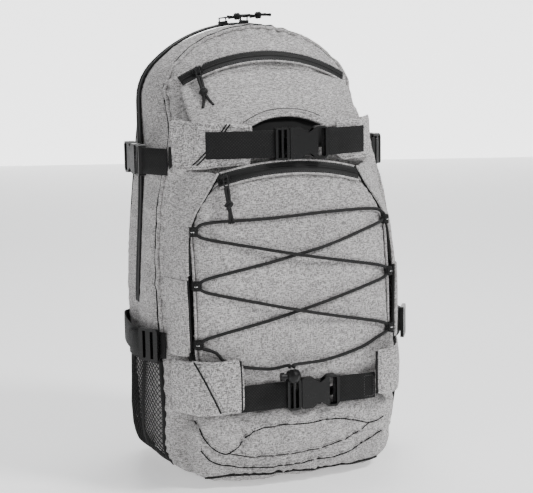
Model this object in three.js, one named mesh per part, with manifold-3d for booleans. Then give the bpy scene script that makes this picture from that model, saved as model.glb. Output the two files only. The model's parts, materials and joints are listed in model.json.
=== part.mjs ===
// Ski backpack with board straps, as an assembly of separate sewn panels, straps, buckles and zips.
// Millimetres, +Z up, front facing -Y, +X to the viewer's right when looking at the front.
// Origin: middle of the flat underside of the base panel.
import * as THREE from "three";
import { mergeVertices } from "three/addons/utils/BufferGeometryUtils.js";
import Module from "manifold-3d";

const wasm = await Module();
wasm.setup();

// ---------------------------------------------------------------- driving dimensions
const GAP = 0.5; // clearance between two sewn pieces that touch
const WALL = 3; // fabric, lining and foam of a shell wall
const BASE_THICKNESS = 3.5;
const BODY_TOP = 498;
const TOP_ARC_RADIUS = 147; // arch of the top, which the main zip follows
const TOP_ARC_HALF = Math.PI / 4;
const SHOULDER_RADIUS = 58; // from the arch into the sides
const BOTTOM_CORNER = 42;
const BOTTOM_HALF_WIDTH = 136;
const BOTTOM_RISE = 1.5; // of the underside, from the middle out to the corners
const BACK_Y = 80; // seam between the gusset and the back panel
const ZIP_TOP_Y = 70; // main zip, over the top
const ZIP_SIDE_Y = 44; // main zip, down the sides
const SPINE_LOW = 84; // ends of the middle line that the body sections shrink towards
const SPINE_HIGH = 380;
const WEBBING = 29; // width of the board and side straps
const WEBBING_THICKNESS = 1.6;
const NARROW_WEBBING = 20; // shoulder and chest straps
const ZIP_WIDTH = 14;
const ZIP_THICKNESS = 2.2;

const COLOURS = {
  shell: [0x9b9997, 0.95, 0],
  wing: [0xa8a5a3, 0.95, 0],
  lining: [0x1c1b1b, 0.9, 0],
  webbing: [0x221f1e, 0.85, 0],
  mesh: [0x2a2727, 0.8, 0],
  plastic: [0x2b2829, 0.45, 0],
  metal: [0x3a3838, 0.4, 0.8],
  cord: [0x2b2626, 0.8, 0],
  foam: [0x343233, 0.9, 0],
};

// ---------------------------------------------------------------- small helpers
const V = (x, y, z) => new THREE.Vector3(x, y, z);
const mix = (a, b, t) => a + (b - a) * t;
const range = (n) => Array.from({ length: n }, (_, i) => i);

// A value that runs straight from one [position, value] pair to the next.
function table(pairs) {
  return (at) => {
    if (at <= pairs[0][0]) return pairs[0][1];
    const next = pairs.findIndex(([p]) => p >= at);
    if (next < 0) return pairs[pairs.length - 1][1];
    const [p0, v0] = pairs[next - 1];
    const [p1, v1] = pairs[next];
    return mix(v0, v1, (at - p0) / (p1 - p0));
  };
}

// The closed body through a row of rings, each the same number of points, with a cap at each end.
function loft(rings) {
  const count = rings[0].length;
  const positions = rings.flat().flatMap((p) => [p.x, p.y, p.z]);
  const index = [];
  const quad = (a, b, c, d) => index.push(a, b, c, a, c, d);
  for (let r = 0; r + 1 < rings.length; r++) {
    for (let i = 0; i < count; i++) {
      const j = (i + 1) % count;
      quad(r * count + i, r * count + j, (r + 1) * count + j, (r + 1) * count + i);
    }
  }
  const last = (rings.length - 1) * count;
  for (const [a, b, c] of capOf(count)) index.push(a, c, b, last + a, last + b, last + c);
  return outward(positions, index);
}

// The triangles that close a ring: strips between the points that mirror each other across point 0.
function capOf(count) {
  const triangles = [[0, 1, count - 1]];
  for (let i = 1, j = count - 1; i + 1 < j; i++, j--) {
    triangles.push([i, i + 1, j]);
    if (i + 1 < j - 1) triangles.push([i + 1, j - 1, j]);
  }
  return triangles;
}

// A geometry whose faces point outwards.
function outward(positions, index) {
  let volume = 0;
  const point = (i) => V(positions[3 * i], positions[3 * i + 1], positions[3 * i + 2]);
  for (let t = 0; t < index.length; t += 3) {
    volume += point(index[t]).dot(point(index[t + 1]).cross(point(index[t + 2])));
  }
  if (volume < 0) {
    for (let t = 0; t < index.length; t += 3) [index[t], index[t + 1]] = [index[t + 1], index[t]];
  }
  const geometry = new THREE.BufferGeometry();
  geometry.setAttribute("position", new THREE.Float32BufferAttribute(positions, 3));
  geometry.setIndex(index);
  return geometry;
}

function solid(geometry) {
  const bare = geometry.index ? geometry.toNonIndexed() : geometry.clone();
  bare.deleteAttribute("normal");
  bare.deleteAttribute("uv");
  const merged = mergeVertices(bare, 1e-3);
  const triVerts = new Uint32Array(merged.index.array);
  const vertProperties = merged.attributes.position.array;
  return new wasm.Manifold(new wasm.Mesh({ numProp: 3, vertProperties, triVerts }));
}

function geometryOf(body) {
  const mesh = body.getMesh();
  const geometry = new THREE.BufferGeometry();
  geometry.setAttribute("position", new THREE.BufferAttribute(mesh.vertProperties, 3));
  geometry.setIndex(new THREE.BufferAttribute(mesh.triVerts, 1));
  return geometry;
}

const joined = (...geometries) =>
  geometryOf(geometries.map(solid).reduce((a, b) => a.add(b)));
const cut = (geometry, ...tools) =>
  geometryOf(tools.map(solid).reduce((a, b) => a.subtract(b), solid(geometry)));
const box = (x0, x1, y0, y1, z0, z1) =>
  new THREE.BoxGeometry(x1 - x0, y1 - y0, z1 - z0)
    .translate((x0 + x1) / 2, (y0 + y1) / 2, (z0 + z1) / 2);
const rod = (radius, length, sides = 16) => new THREE.CylinderGeometry(radius, radius, length, sides);

// A flat strap: a rectangle carried along points, its width always along one direction.
function ribbon(points, width, thickness, across = V(0, 0, 1)) {
  const rings = points.map((p, i) => {
    const before = points[Math.max(0, i - 1)];
    const after = points[Math.min(points.length - 1, i + 1)];
    const out = after.clone().sub(before).cross(across).normalize().multiplyScalar(thickness / 2);
    const half = across.clone().multiplyScalar(width / 2);
    return [[1, 1], [-1, 1], [-1, -1], [1, -1]]
      .map(([a, b]) => p.clone().addScaledVector(out, a).addScaledVector(half, b));
  });
  return loft(rings);
}

// A round cord along points.
function cordAlong(points, radius, sides, steps) {
  const curve = new THREE.CatmullRomCurve3(points, false, "centripetal");
  const section = new THREE.Shape(
    range(sides).map((i) => {
      const a = (2 * Math.PI * i) / sides;
      return new THREE.Vector2(radius * Math.cos(a), radius * Math.sin(a));
    }),
  );
  return new THREE.ExtrudeGeometry(section, { steps, extrudePath: curve });
}

// A thin panel over a stretch of the front: its back lies on y = surface(x, z).
function panel({ x, low, high, surface, thickness, across = 8, up = 3 }) {
  const rings = range(across + 1).map((i) => {
    const px = mix(x[0], x[1], i / across);
    const heights = range(up + 1).map((j) => mix(low(px), high(px), j / up));
    const back = heights.map((z) => V(px, surface(px, z), z));
    const front = heights.map((z) => V(px, surface(px, z) - thickness, z)).reverse();
    return [...back, ...front];
  });
  return loft(rings);
}

// Its points start at the middle of the lower side, so that they mirror each other across it.
function roundedRectangle(halfX, halfY, radius) {
  const shape = new THREE.Shape();
  shape.moveTo(0, -halfY);
  shape.absarc(halfX - radius, -halfY + radius, radius, -Math.PI / 2, 0, false);
  shape.absarc(halfX - radius, halfY - radius, radius, 0, Math.PI / 2, false);
  shape.absarc(-halfX + radius, halfY - radius, radius, Math.PI / 2, Math.PI, false);
  shape.absarc(-halfX + radius, -halfY + radius, radius, Math.PI, 1.5 * Math.PI, false);
  shape.closePath();
  return shape;
}

const extruded = (shape, depth, curveSegments = 5) =>
  new THREE.ExtrudeGeometry(shape, { depth, bevelEnabled: false, curveSegments });

const pack = new THREE.Group();

function add(name, geometry, look, parent = pack) {
  const [color, roughness, metalness] = COLOURS[look];
  const mesh = new THREE.Mesh(geometry, new THREE.MeshStandardMaterial({ color, roughness, metalness }));
  mesh.name = name;
  parent.add(mesh);
  return mesh;
}

// ---------------------------------------------------------------- the body's shape
const SIDE_POINTS = [[139, 120], [141, 195], [138, 262], [129.5, 345]]; // [x, z] up the side

// Outline of the body seen from the front, as one closed ring of [x, z] points.
function bodyOutline(perSide) {
  const right = new THREE.Path();
  const floor = BASE_THICKNESS + GAP;
  const centre = BODY_TOP - TOP_ARC_RADIUS;
  const shoulder = (TOP_ARC_RADIUS - SHOULDER_RADIUS) * Math.SQRT1_2;
  const lean = 0.12; // the sides spread a little from the shoulders down
  const join = new THREE.Vector2(
    shoulder + SHOULDER_RADIUS * Math.cos(lean),
    centre + shoulder + SHOULDER_RADIUS * Math.sin(lean),
  );
  right.moveTo(0, floor);
  const flat = BOTTOM_HALF_WIDTH - BOTTOM_CORNER;
  right.quadraticCurveTo(flat / 2, floor, flat, floor + BOTTOM_RISE);
  right.absarc(flat, floor + BOTTOM_RISE + BOTTOM_CORNER, BOTTOM_CORNER, -Math.PI / 2, 0, false);
  right.splineThru([...SIDE_POINTS.map((p) => new THREE.Vector2(...p)), join]);
  right.absarc(shoulder, centre + shoulder, SHOULDER_RADIUS, lean, TOP_ARC_HALF, false);
  right.absarc(0, centre, TOP_ARC_RADIUS, Math.PI / 2 - TOP_ARC_HALF, Math.PI / 2, false);
  const half = right.getSpacedPoints(perSide);
  const left = half.slice(1, -1).reverse().map((p) => new THREE.Vector2(-p.x, p.y));
  return [...half, ...left];
}

const PER_SIDE = 22; // stretches on each half of the outline
const OUTLINE = bodyOutline(PER_SIDE);
const SIDE_OF_OUTLINE = OUTLINE.slice(1, PER_SIDE).filter((p) => p.x > 100 && p.y < 400);
const halfWidthAt = table(SIDE_OF_OUTLINE.map((p) => [p.y, p.x]));
const spineOf = (z) => Math.min(Math.max(z, SPINE_LOW), SPINE_HIGH);

// How far out a point of the front lies: 0 on the middle line, 1 on the outline.
function share(x, z) {
  const from = new THREE.Vector2(0, spineOf(z));
  const to = new THREE.Vector2(x, z).sub(from);
  if (to.length() < 1e-6) return 0;
  for (let i = 0; i < OUTLINE.length; i++) {
    const a = OUTLINE[i].clone().sub(from);
    const edge = OUTLINE[(i + 1) % OUTLINE.length].clone().sub(from).sub(a);
    const across = to.cross(edge);
    if (Math.abs(across) < 1e-9) continue;
    const reach = a.cross(edge) / across;
    const along = a.cross(to) / across;
    if (reach > 0 && along >= 0 && along <= 1) return 1 / reach;
  }
  return 1;
}

// Seam between the gusset and the front panel, and how far the front panel swells past it.
const seamY = table([
  [0, -58], [83, -64], [150, -62], [250, -50], [337, -38], [370, -31], [420, 2], [470, 12], [498, 16],
]);
const swell = table([
  [0, 10], [83, 10], [150, 10], [250, 16], [337, 34], [375, 48], [400, 44], [435, 36], [464, 26], [485, 13],
  [498, 4],
]);
const taper = table([[300, 1], [350, 0.95], [385, 0.9], [440, 0.91], [498, 0.94]]); // width at the front seam
const zipY = table([[0, ZIP_SIDE_Y], [367, ZIP_SIDE_Y], [397, 59], [418, 68], [440, ZIP_TOP_Y]]);
const frontY = (x, z) => {
  const out = Math.min(1, share(x / taper(z), z));
  return seamY(z) - swell(z) * Math.sqrt(1 - out ** 2.4);
};

// The body as a closed form, shrunk by an inset on every side but the back, which runs on by `beyond`.
function bodyForm(inset, beyond) {
  const ring = (part, y, tapered = 1) =>
    OUTLINE.map((p) => {
      const shrunk = part - inset / Math.hypot(p.x, p.y - spineOf(p.y));
      const z = mix(spineOf(p.y), p.y, shrunk);
      return V(p.x * shrunk * mix(1, taper(z), tapered), y(z, part), z);
    });
  const onFront = (z, part) => seamY(z) - swell(z) * Math.sqrt(1 - part ** 2.4) + inset;
  return loft([
    ...(beyond > 0 ? [ring(0.95, () => BACK_Y + beyond, 0)] : []),
    ring(0.95, () => BACK_Y, 0),
    ring(0.985, () => BACK_Y - 6, 0),
    ring(1, () => ZIP_TOP_Y - 12, 0),
    ring(1, (z) => mix(ZIP_SIDE_Y, seamY(z) + inset, 0.5), 0.4),
    ring(0.985, (z) => seamY(z) + inset),
    ...[0.92, 0.8, 0.6, 0.3].map((part) => ring(part, onFront)),
  ]);
}

const bodySolid = bodyForm(0, 0);
const bodyClear = bodyForm(-GAP, 0); // what the pieces on the body keep clear of

// ---------------------------------------------------------------- shell, base and back
function makeShell() {
  add("main_shell", cut(bodySolid, bodyForm(WALL, 10)), "shell");
  const base = extruded(roundedRectangle(98, 64, 26), BASE_THICKNESS);
  add("base_panel", base, "lining").position.y = 4;
}

function backOutline(part) {
  return new THREE.Shape(OUTLINE.map((p) => new THREE.Vector2(p.x * part, mix(spineOf(p.y), p.y, part))));
}

const BACK_THICKNESS = 5;
const BACK_PAD = { halfWidth: 42, halfHeight: 165, corner: 30, thickness: 11, x: 54, z: 232 };
const FRAME_SHEET_THICKNESS = 1.6;
const BACK_FACE = BACK_Y + GAP + BACK_THICKNESS;

function makeBack() {
  // A shape drawn in [x, z] stands up after a quarter turn about X, and then runs towards -Y.
  const standing = (shape, depth, y) =>
    extruded(shape, depth).rotateX(Math.PI / 2).translate(0, y + depth, 0);
  add("back_panel", standing(backOutline(0.95), BACK_THICKNESS, BACK_Y + GAP), "shell");
  add("frame_sheet", standing(backOutline(0.82), FRAME_SHEET_THICKNESS, BACK_Y - 8), "plastic");
  const { halfWidth, halfHeight, corner, thickness, x, z } = BACK_PAD;
  for (const [side, name] of [[-1, "left"], [1, "right"]]) {
    const pad = standing(roundedRectangle(halfWidth, halfHeight, corner), thickness, BACK_FACE + GAP);
    add(`back_pad_${name}`, pad.translate(side * x, 0, z), "foam");
  }
}

// ---------------------------------------------------------------- pockets
// A swollen pocket on the front. Its rim lies on y = edge(x, z), and its face swells past that.
function pocket({ halfWidth, low, high, corner, arch, edge, swollen, inset = 0 }) {
  const mid = (low + high) / 2;
  const shape = roundedRectangle(halfWidth - inset, (high - low) / 2 - inset, corner - inset);
  const outline = shape.getSpacedPoints(32).slice(0, -1).map((p) => {
    const raised = Math.max(0, p.y / (high - mid)) * arch * (1 - (p.x / halfWidth) ** 2);
    return new THREE.Vector2(p.x, p.y + mid + raised);
  });
  const spine = (z) => Math.min(Math.max(z, mix(mid, low, 0.45)), mix(mid, high, 0.45));
  const ring = (part, y) =>
    outline.map((p) => {
      const z = mix(spine(p.y), p.y, part);
      return V(p.x * part, y(p.x * part, z, part), z);
    });
  const face = (x, z, part) => edge(x, z) + inset - swollen * Math.sqrt(1 - part ** 3);
  return loft([ring(1, () => 0), ring(1, face), ...[0.95, 0.84, 0.64, 0.36].map((part) => ring(part, face))]);
}

function hollowPocket(size) {
  return cut(pocket(size), pocket({ ...size, inset: WALL }), bodyClear);
}

const belly = (x, halfWidth) => 1 - (x / halfWidth) ** 2;
const frontPocketEdge = table([[124, -98], [163, -99], [227, -97], [284, -89], [336, -80], [350, -79]]);
const FRONT_POCKET = {
  halfWidth: 112,
  low: 124,
  high: 326,
  corner: 48,
  arch: 20,
  edge: (x, z) => frontPocketEdge(z) - 12 * belly(x, 112),
  swollen: 7,
};
const lowerPocketEdge = table([[8, -80], [30, -86], [88, -92]]);
const LOWER_POCKET = {
  halfWidth: 116,
  low: 8,
  high: 87,
  corner: 30,
  arch: 0,
  edge: (x, z) => lowerPocketEdge(z) - 16 * belly(x, 116),
  swollen: 10,
};
const UPPER_POCKET = {
  halfWidth: 98,
  low: 399,
  high: 432,
  corner: 12,
  arch: 17,
  edge: (x, z) => frontY(x, z) - 2,
  swollen: 6,
};

// Height of the front pocket's face, used by what lies on it.
function pocketFace(x, z) {
  const { halfWidth, edge, swollen } = FRONT_POCKET;
  return edge(x, z) - swollen * Math.sqrt(1 - Math.min(1, Math.abs(x) / halfWidth) ** 3);
}

const MESH_TOP = 142;
const MESH_LOW = 18;
const MESH_SPAN = [-58, 52]; // along Y
const MESH_LOW_FRONT = -44; // front end of the pocket at its bottom
const MESH_STANDS_OUT = 21;
const MESH_WALL = 2;
const MESH_BULGE = table([[0, 0.1], [0.25, 0.7], [0.5, 1], [1, 0.8]]); // by share of the height

// Plan section of a side pocket at one height, on the +X side.
function meshSection(z, inset) {
  const up = (z - MESH_LOW) / (MESH_TOP - MESH_LOW);
  const wall = halfWidthAt(z);
  const y0 = mix(MESH_LOW_FRONT, MESH_SPAN[0], Math.min(1, 2 * up)) + inset;
  const y1 = MESH_SPAN[1] - inset;
  const rim = range(9).map((i) => {
    const t = i / 8;
    const out = MESH_STANDS_OUT * MESH_BULGE(up) * Math.sin(Math.PI * t) ** 0.6;
    return V(wall - 3 + out - inset, mix(y0, y1, t), z);
  });
  return [...rim, V(90, y1, z), V(90, y0, z)];
}

function makePockets() {
  add("front_pocket", hollowPocket(FRONT_POCKET), "shell");
  add("lower_pocket", hollowPocket(LOWER_POCKET), "shell");
  add("upper_pocket", hollowPocket(UPPER_POCKET), "shell");
  const heights = range(6).map((i) => mix(MESH_LOW, MESH_TOP, i / 5));
  const outer = loft(heights.map((z) => meshSection(z, 0)));
  const hollow = [MESH_LOW + MESH_WALL, ...heights.slice(1, -1), MESH_TOP + 5];
  const inner = loft(hollow.map((z) => meshSection(z, MESH_WALL)));
  for (const [side, name] of [[1, "right"], [-1, "left"]]) {
    const mesh = add(`mesh_pocket_${name}`, cut(outer, inner, bodyClear), "mesh");
    mesh.scale.x = side;
  }
}

// ---------------------------------------------------------------- zips
// Each zip's curved stretch turns about one centre, so its slider swings about that centre.
// `facing` is how far the tape's face looks up from the front.
function arcZip({ halfChord, end, apex, facing }) {
  const rise = Math.hypot(apex[0] - end[0], apex[1] - end[1]);
  const radius = (halfChord ** 2 + rise ** 2) / (2 * rise);
  const tilt = Math.atan2(end[0] - apex[0], apex[1] - end[1]); // of the arc's plane, forwards from upright
  const centre = V(0, apex[0] + radius * Math.sin(tilt), apex[1] - radius * Math.cos(tilt));
  return { radius, tilt, centre, half: Math.asin(halfChord / radius), lean: facing + tilt };
}

const UPPER_ZIP = arcZip({ halfChord: 96, end: [-13, 438], apex: [-20, 464], facing: 0.7 });
const FRONT_ZIP = arcZip({ halfChord: 81, end: [-89.5, 335], apex: [-96, 347], facing: 0.45 });

// The arc's own frame: its axis is Y, and Z is the radius at an angle.
function onArc(zip, angle, child) {
  const plane = new THREE.Group();
  plane.position.copy(zip.centre);
  plane.rotation.x = zip.tilt;
  const turn = new THREE.Group();
  turn.rotation.y = angle;
  plane.add(turn);
  turn.add(child);
  pack.add(plane);
}

// The tape: a rectangle turned about the arc's axis, leaning so that it faces out of the fabric.
function zipTape(zip, steps) {
  const centre = new THREE.Vector2();
  const section = [[1, 1], [-1, 1], [-1, -1], [1, -1]].map(([a, b]) =>
    new THREE.Vector2((a * ZIP_THICKNESS) / 2, (b * ZIP_WIDTH) / 2).rotateAround(centre, zip.lean));
  return loft(range(steps + 1).map((i) => {
    const angle = mix(-zip.half, zip.half, i / steps);
    return section.map((q) => V(0, -q.x, zip.radius + q.y).applyAxisAngle(V(0, 1, 0), angle));
  }));
}

const MAIN_ZIP = {
  radius: TOP_ARC_RADIUS + GAP + ZIP_THICKNESS / 2,
  tilt: 0,
  centre: V(0, ZIP_TOP_Y, BODY_TOP - TOP_ARC_RADIUS),
  lean: Math.PI / 2,
};
const MAIN_ZIP_END = 188; // height of the lower ends of the main zip

// Over the top as an arc, then down both sides on the gusset.
function mainZipTape() {
  const ring = (p, i) => {
    const along = OUTLINE[i + 1].clone().sub(OUTLINE[i - 1]).normalize();
    const normal = V(along.y, 0, -along.x);
    const at = V(p.x, zipY(p.y), p.y).addScaledVector(normal, GAP + ZIP_THICKNESS / 2);
    return [[1, 1], [-1, 1], [-1, -1], [1, -1]].map(([a, b]) =>
      at.clone().addScaledVector(normal, (a * ZIP_THICKNESS) / 2).add(V(0, (b * ZIP_WIDTH) / 2, 0)));
  };
  return loft(OUTLINE.map((p, i) => (p.y > MAIN_ZIP_END ? ring(p, i) : null)).filter(Boolean));
}

const SLIDER = { length: 11, width: 8, thickness: 3, pin: 6.9, bridge: 4.6, wire: 1.3 };

// A slider: the body that rides on the teeth, with a bridge along it that holds the pull. +Z faces out.
function sliderShape() {
  const { length, width, thickness, pin, bridge, wire } = SLIDER;
  const body = extruded(roundedRectangle(length / 2, width / 2, 2.5), thickness, 2);
  const blank = box(-bridge, bridge, -wire / 2, wire / 2, thickness - 0.5, pin + wire / 2);
  const eye = box(-bridge + wire, bridge - wire, -2, 2, thickness, pin - wire / 2);
  return joined(body, cut(blank, eye));
}

// A pull hanging along -Z from its pin: a wire link, a doubled cord, a knot and two tails.
function pullShape({ drop, spread }) {
  const outer = extruded(roundedRectangle(3, 7, 2.9), 1.2, 2);
  const link = cut(outer, extruded(roundedRectangle(2.1, 6.1, 2), 4, 2).translate(0, 0, -1));
  link.translate(0, -4.8, -0.6).rotateX(Math.PI / 2).rotateZ(Math.PI / 2);
  const knotAt = -drop * 0.62;
  const knot = V(0, 0, knotAt);
  const doubled = cordAlong([V(0, 0, -10.8), V(0.6, -0.4, mix(-10.8, knotAt, 0.5)), knot], 1.9, 6, 3);
  const ball = new THREE.SphereGeometry(4.3, 8, 6).translate(0, 0, knotAt);
  const tails = [-1, 1].map((s) =>
    cordAlong([knot, V(s * spread * 0.35, -0.5, -drop * 0.8), V(s * spread, 0, -drop)], 1.2, 5, 3));
  return joined(link, doubled, ball, ...tails);
}

// Puts a slider on a zip at an angle, and hangs its pull from the slider's pin.
function sliderAndPull(zip, angle, name, size, hang) {
  const seat = new THREE.Group();
  seat.position.z = zip.radius;
  seat.rotation.x = Math.PI / 2 - zip.lean;
  const slider = add(`${name}_slider`, sliderShape(), "metal", seat);
  slider.position.z = ZIP_THICKNESS / 2 + GAP;
  onArc(zip, angle, seat);
  pack.updateMatrixWorld(true);
  const pull = add(`${name}_pull`, pullShape(size), "cord");
  pull.position.copy(slider.localToWorld(V(0, 0, SLIDER.pin)));
  // The pull's X is its own hinge, square to where it hangs and lying along the fabric.
  const out = V(0, 0, 1).transformDirection(slider.matrixWorld);
  const up = hang.clone().normalize().negate();
  const hinge = out.cross(up).normalize();
  pull.quaternion.setFromRotationMatrix(new THREE.Matrix4().makeBasis(hinge, up.clone().cross(hinge), up));
}

function makeZips() {
  add("main_zip_track", mainZipTape(), "lining");
  for (const [name, zip] of [["upper_zip_track", UPPER_ZIP], ["front_zip_track", FRONT_ZIP]]) {
    const tape = new THREE.Group();
    add(name, zipTape(zip, 14), "lining", tape);
    onArc(zip, 0, tape);
  }
  const short = { drop: 42, spread: 4 };
  sliderAndPull(MAIN_ZIP, -0.12, "main_left", short, V(0.4, -0.9, 0.05));
  sliderAndPull(MAIN_ZIP, 0.05, "main_right", short, V(0.36, -0.92, 0.05));
  sliderAndPull(UPPER_ZIP, -0.43, "upper", { drop: 50, spread: 6 }, V(0.06, -0.58, -0.81));
  sliderAndPull(FRONT_ZIP, -0.3, "front", { drop: 50, spread: 2 }, V(0.02, -0.3, -0.95));
}

// ---------------------------------------------------------------- buckles
const BUCKLE = { width: 35, socketLength: 44, frameLength: 16, height: 10, arm: 13.4, prong: 27 };
const SLOT = 3.8; // for two layers of webbing

// Socket, along +X from its mouth at 0; Y is across the strap, Z the thickness.
function socketShape({ width, socketLength, height, prong }) {
  const half = width / 2;
  const side = (s) => [
    [0, 0.92], [1.5, 0.96], [13, 0.96], [17, 0.74], [21.5, 0.62], [26, 0.76], [30, 0.96], [33, 1],
    [socketLength - 4, 1], [socketLength, 0.78],
  ].map(([x, part]) => new THREE.Vector2(x, s * half * part));
  const outline = new THREE.Shape([...side(1), ...side(-1).reverse()]);
  const slot = box(32, socketLength - 3.4, -WEBBING / 2 - 0.6, WEBBING / 2 + 0.6, -height, 2 * height);
  const cavity = box(-1, prong + 1.5, -half + 2.4, half - 2.4, height / 2 - 3.3, height / 2 + 3.3);
  return cut(extruded(outline, height), slot, cavity).translate(0, 0, -height / 2);
}

// Plug: a frame with two slots for the webbing on -X, and two arms and a guide that enter the socket.
function plugShape({ width, frameLength, height, arm, prong }) {
  const thick = 5.6;
  const shape = roundedRectangle(frameLength / 2, width / 2, 4);
  const frame = extruded(shape, height - 1.5, 2).translate(-frameLength / 2 - 0.4, 0, -(height - 1.5) / 2);
  const slots = [-frameLength + 2.4, -frameLength + 8.6].map((x) =>
    box(x, x + SLOT, -WEBBING / 2 - 0.6, WEBBING / 2 + 0.6, -height, height));
  const arms = [-1, 1].map((s) => {
    const outline = [
      [-1, 4.4], [13, 5], [17, 3], [prong, 6.4], [prong, 3.8], [22, 0], [17, 0], [12, 2], [-1, 1.2],
    ].map(([x, inwards]) => new THREE.Vector2(x, s * (arm - inwards)));
    return extruded(new THREE.Shape(outline), thick).translate(0, 0, -thick / 2);
  });
  const guide = box(-1, 18, -2.6, 2.6, -thick / 2, thick / 2);
  return joined(cut(frame, ...slots), ...arms, guide);
}

const LADDER_LOCK_HEIGHT = 4;

// A frame with two slots that webbing is laced through, lying in the XY plane.
function ladderLockShape(webbing, length) {
  const height = LADDER_LOCK_HEIGHT;
  const outline = roundedRectangle(length / 2, webbing / 2 + 3.4, 3.5);
  const frame = extruded(outline, height).translate(0, 0, -height / 2);
  const slot = (x) => box(x - 2.2, x + 2.2, -webbing / 2 - 0.5, webbing / 2 + 0.5, -height, height);
  return cut(frame, slot(-length * 0.2), slot(length * 0.2));
}

// Turns a buckle so that its own X runs along `along` and its thickness along `facing`.
function placed(geometry, position, along, facing) {
  const basis = new THREE.Matrix4().makeBasis(along, facing.clone().cross(along), facing);
  return geometry.clone().applyMatrix4(basis).translate(position.x, position.y, position.z);
}

// ---------------------------------------------------------------- board straps
const UPPER_STRAP_Z = 373;
const LOWER_STRAP_Z = 104;
const UPPER_BUCKLE = V(-3, -99, UPPER_STRAP_Z); // the socket's mouth
const LOWER_BUCKLE = V(-2, -121, LOWER_STRAP_Z);

function boardBuckle(name, mouth) {
  add(`${name}_socket`, placed(socketShape(BUCKLE), mouth, V(1, 0, 0), V(0, -1, 0)), "plastic");
  add(`${name}_plug`, placed(plugShape(BUCKLE), mouth, V(1, 0, 0), V(0, -1, 0)), "plastic");
}

// The webbing on each side, from its sewn end over a bend to the bar of its half of the buckle.
function boardWebbing(name, mouth, sewn, bend) {
  const level = (points) => points.map(([x, y]) => V(x, y, mouth.z));
  const left = level([[-sewn[0], sewn[1]], [-bend[0], bend[1]], [mouth.x - 17.2, mouth.y]]);
  const right = level([[mouth.x + BUCKLE.socketLength + 0.8, mouth.y], [bend[0] + 8, bend[1]], sewn]);
  add(`${name}_strap_left`, ribbon(left, WEBBING, WEBBING_THICKNESS), "webbing");
  add(`${name}_strap_right`, ribbon(right, WEBBING, WEBBING_THICKNESS), "webbing");
}

const WING_THICKNESS = 3;
const upperWingY = table([[46, -89], [96, -74], [108, -58], [119, -44]]); // by distance from the middle
const lowerWingY = table([[68, -123.5], [100, -121], [118, -108], [133, -74]]);

function makeBoardStraps() {
  boardBuckle("upper", UPPER_BUCKLE);
  boardBuckle("lower", LOWER_BUCKLE);
  boardWebbing("upper", UPPER_BUCKLE, [91, -80.5], [46, -94]);
  boardWebbing("lower", LOWER_BUCKLE, [84, -119], [50, -120]);

  // Fabric wings from the side seams, over the front.
  const wing = (name, x, low, high, surface) =>
    add(name, panel({ x, low, high, surface, thickness: WING_THICKNESS }), "wing");
  const upper = (x, z) => Math.min(frontY(x, z) - 2, upperWingY(Math.abs(x)));
  const lower = (x) => lowerWingY(Math.abs(x));
  const level = (z) => () => z;
  const leftLow = table([[-119, 345], [-80, 350], [-46, 354]]);
  wing("upper_wing_left", [-119, -46], leftLow, table([[-119, 398], [-46, 393]]), upper);
  wing("upper_wing_right", [54, 108], table([[54, 355], [108, 350]]), table([[54, 396], [108, 405]]), upper);
  wing("lower_wing_left", [-133, -68], level(92), level(148), lower);
  wing("lower_wing_right", [88, 133], level(92), level(146), lower);
}

// ---------------------------------------------------------------- side straps
const SIDE_STRAP_Z = 354;
const LOW_SIDE_STRAP_Z = 158;
const SIDE_BUCKLE_X = 141;

function makeSideStraps() {
  for (const [side, name] of [[-1, "left"], [1, "right"]]) {
    const out = V(side, 0, 0);
    const back = V(0, 1, 0);
    // Upper: webbing from the front seam, and a buckle on the side, its socket sewn near the back edge.
    const mouth = V(side * SIDE_BUCKLE_X, 6, SIDE_STRAP_Z);
    add(`side_plug_${name}`, placed(plugShape(BUCKLE), mouth, back, out), "plastic");
    add(`side_socket_${name}`, placed(socketShape(BUCKLE), mouth, back, out), "plastic");
    const level = (z) => ([x, y]) => V(side * x, y, z);
    const front = [[125, -42], [135, -24], [SIDE_BUCKLE_X, mouth.y - 17.4]].map(level(SIDE_STRAP_Z));
    add(`side_strap_${name}`, ribbon(front, WEBBING, WEBBING_THICKNESS), "webbing");
    // Lower: webbing round the corner and over the mouth of the mesh pocket, with a ladder lock on it.
    const low = [[140, -66], [153, -40], [158, -8], [155, 30], [147.5, 66]].map(level(LOW_SIDE_STRAP_Z));
    add(`low_side_strap_${name}`, ribbon(low, WEBBING, WEBBING_THICKNESS), "webbing");
    const outwards = V(side * 0.86, -0.51, 0).normalize();
    const lockAt = V(side * 150.6, -54, LOW_SIDE_STRAP_Z).addScaledVector(outwards, 1.5);
    const along = V(0, 0, 1).cross(outwards);
    add(`ladder_lock_${name}`, placed(ladderLockShape(WEBBING, 28), lockAt, along, outwards), "plastic");
  }
}

// ---------------------------------------------------------------- elastic cord
const CORD_RADIUS = 1.7;
const LOOP_HEIGHTS = [284, 227, 164];
const LOOP_X = 108;
const CORD_LOCK = V(-16, -136, 128);
const CORD_LOCK_RADIUS = 8.4;
const PLUNGER_RADIUS = 3.2;
const LOOP_TAPE_SPAN = [150, 296]; // heights of its ends

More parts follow.
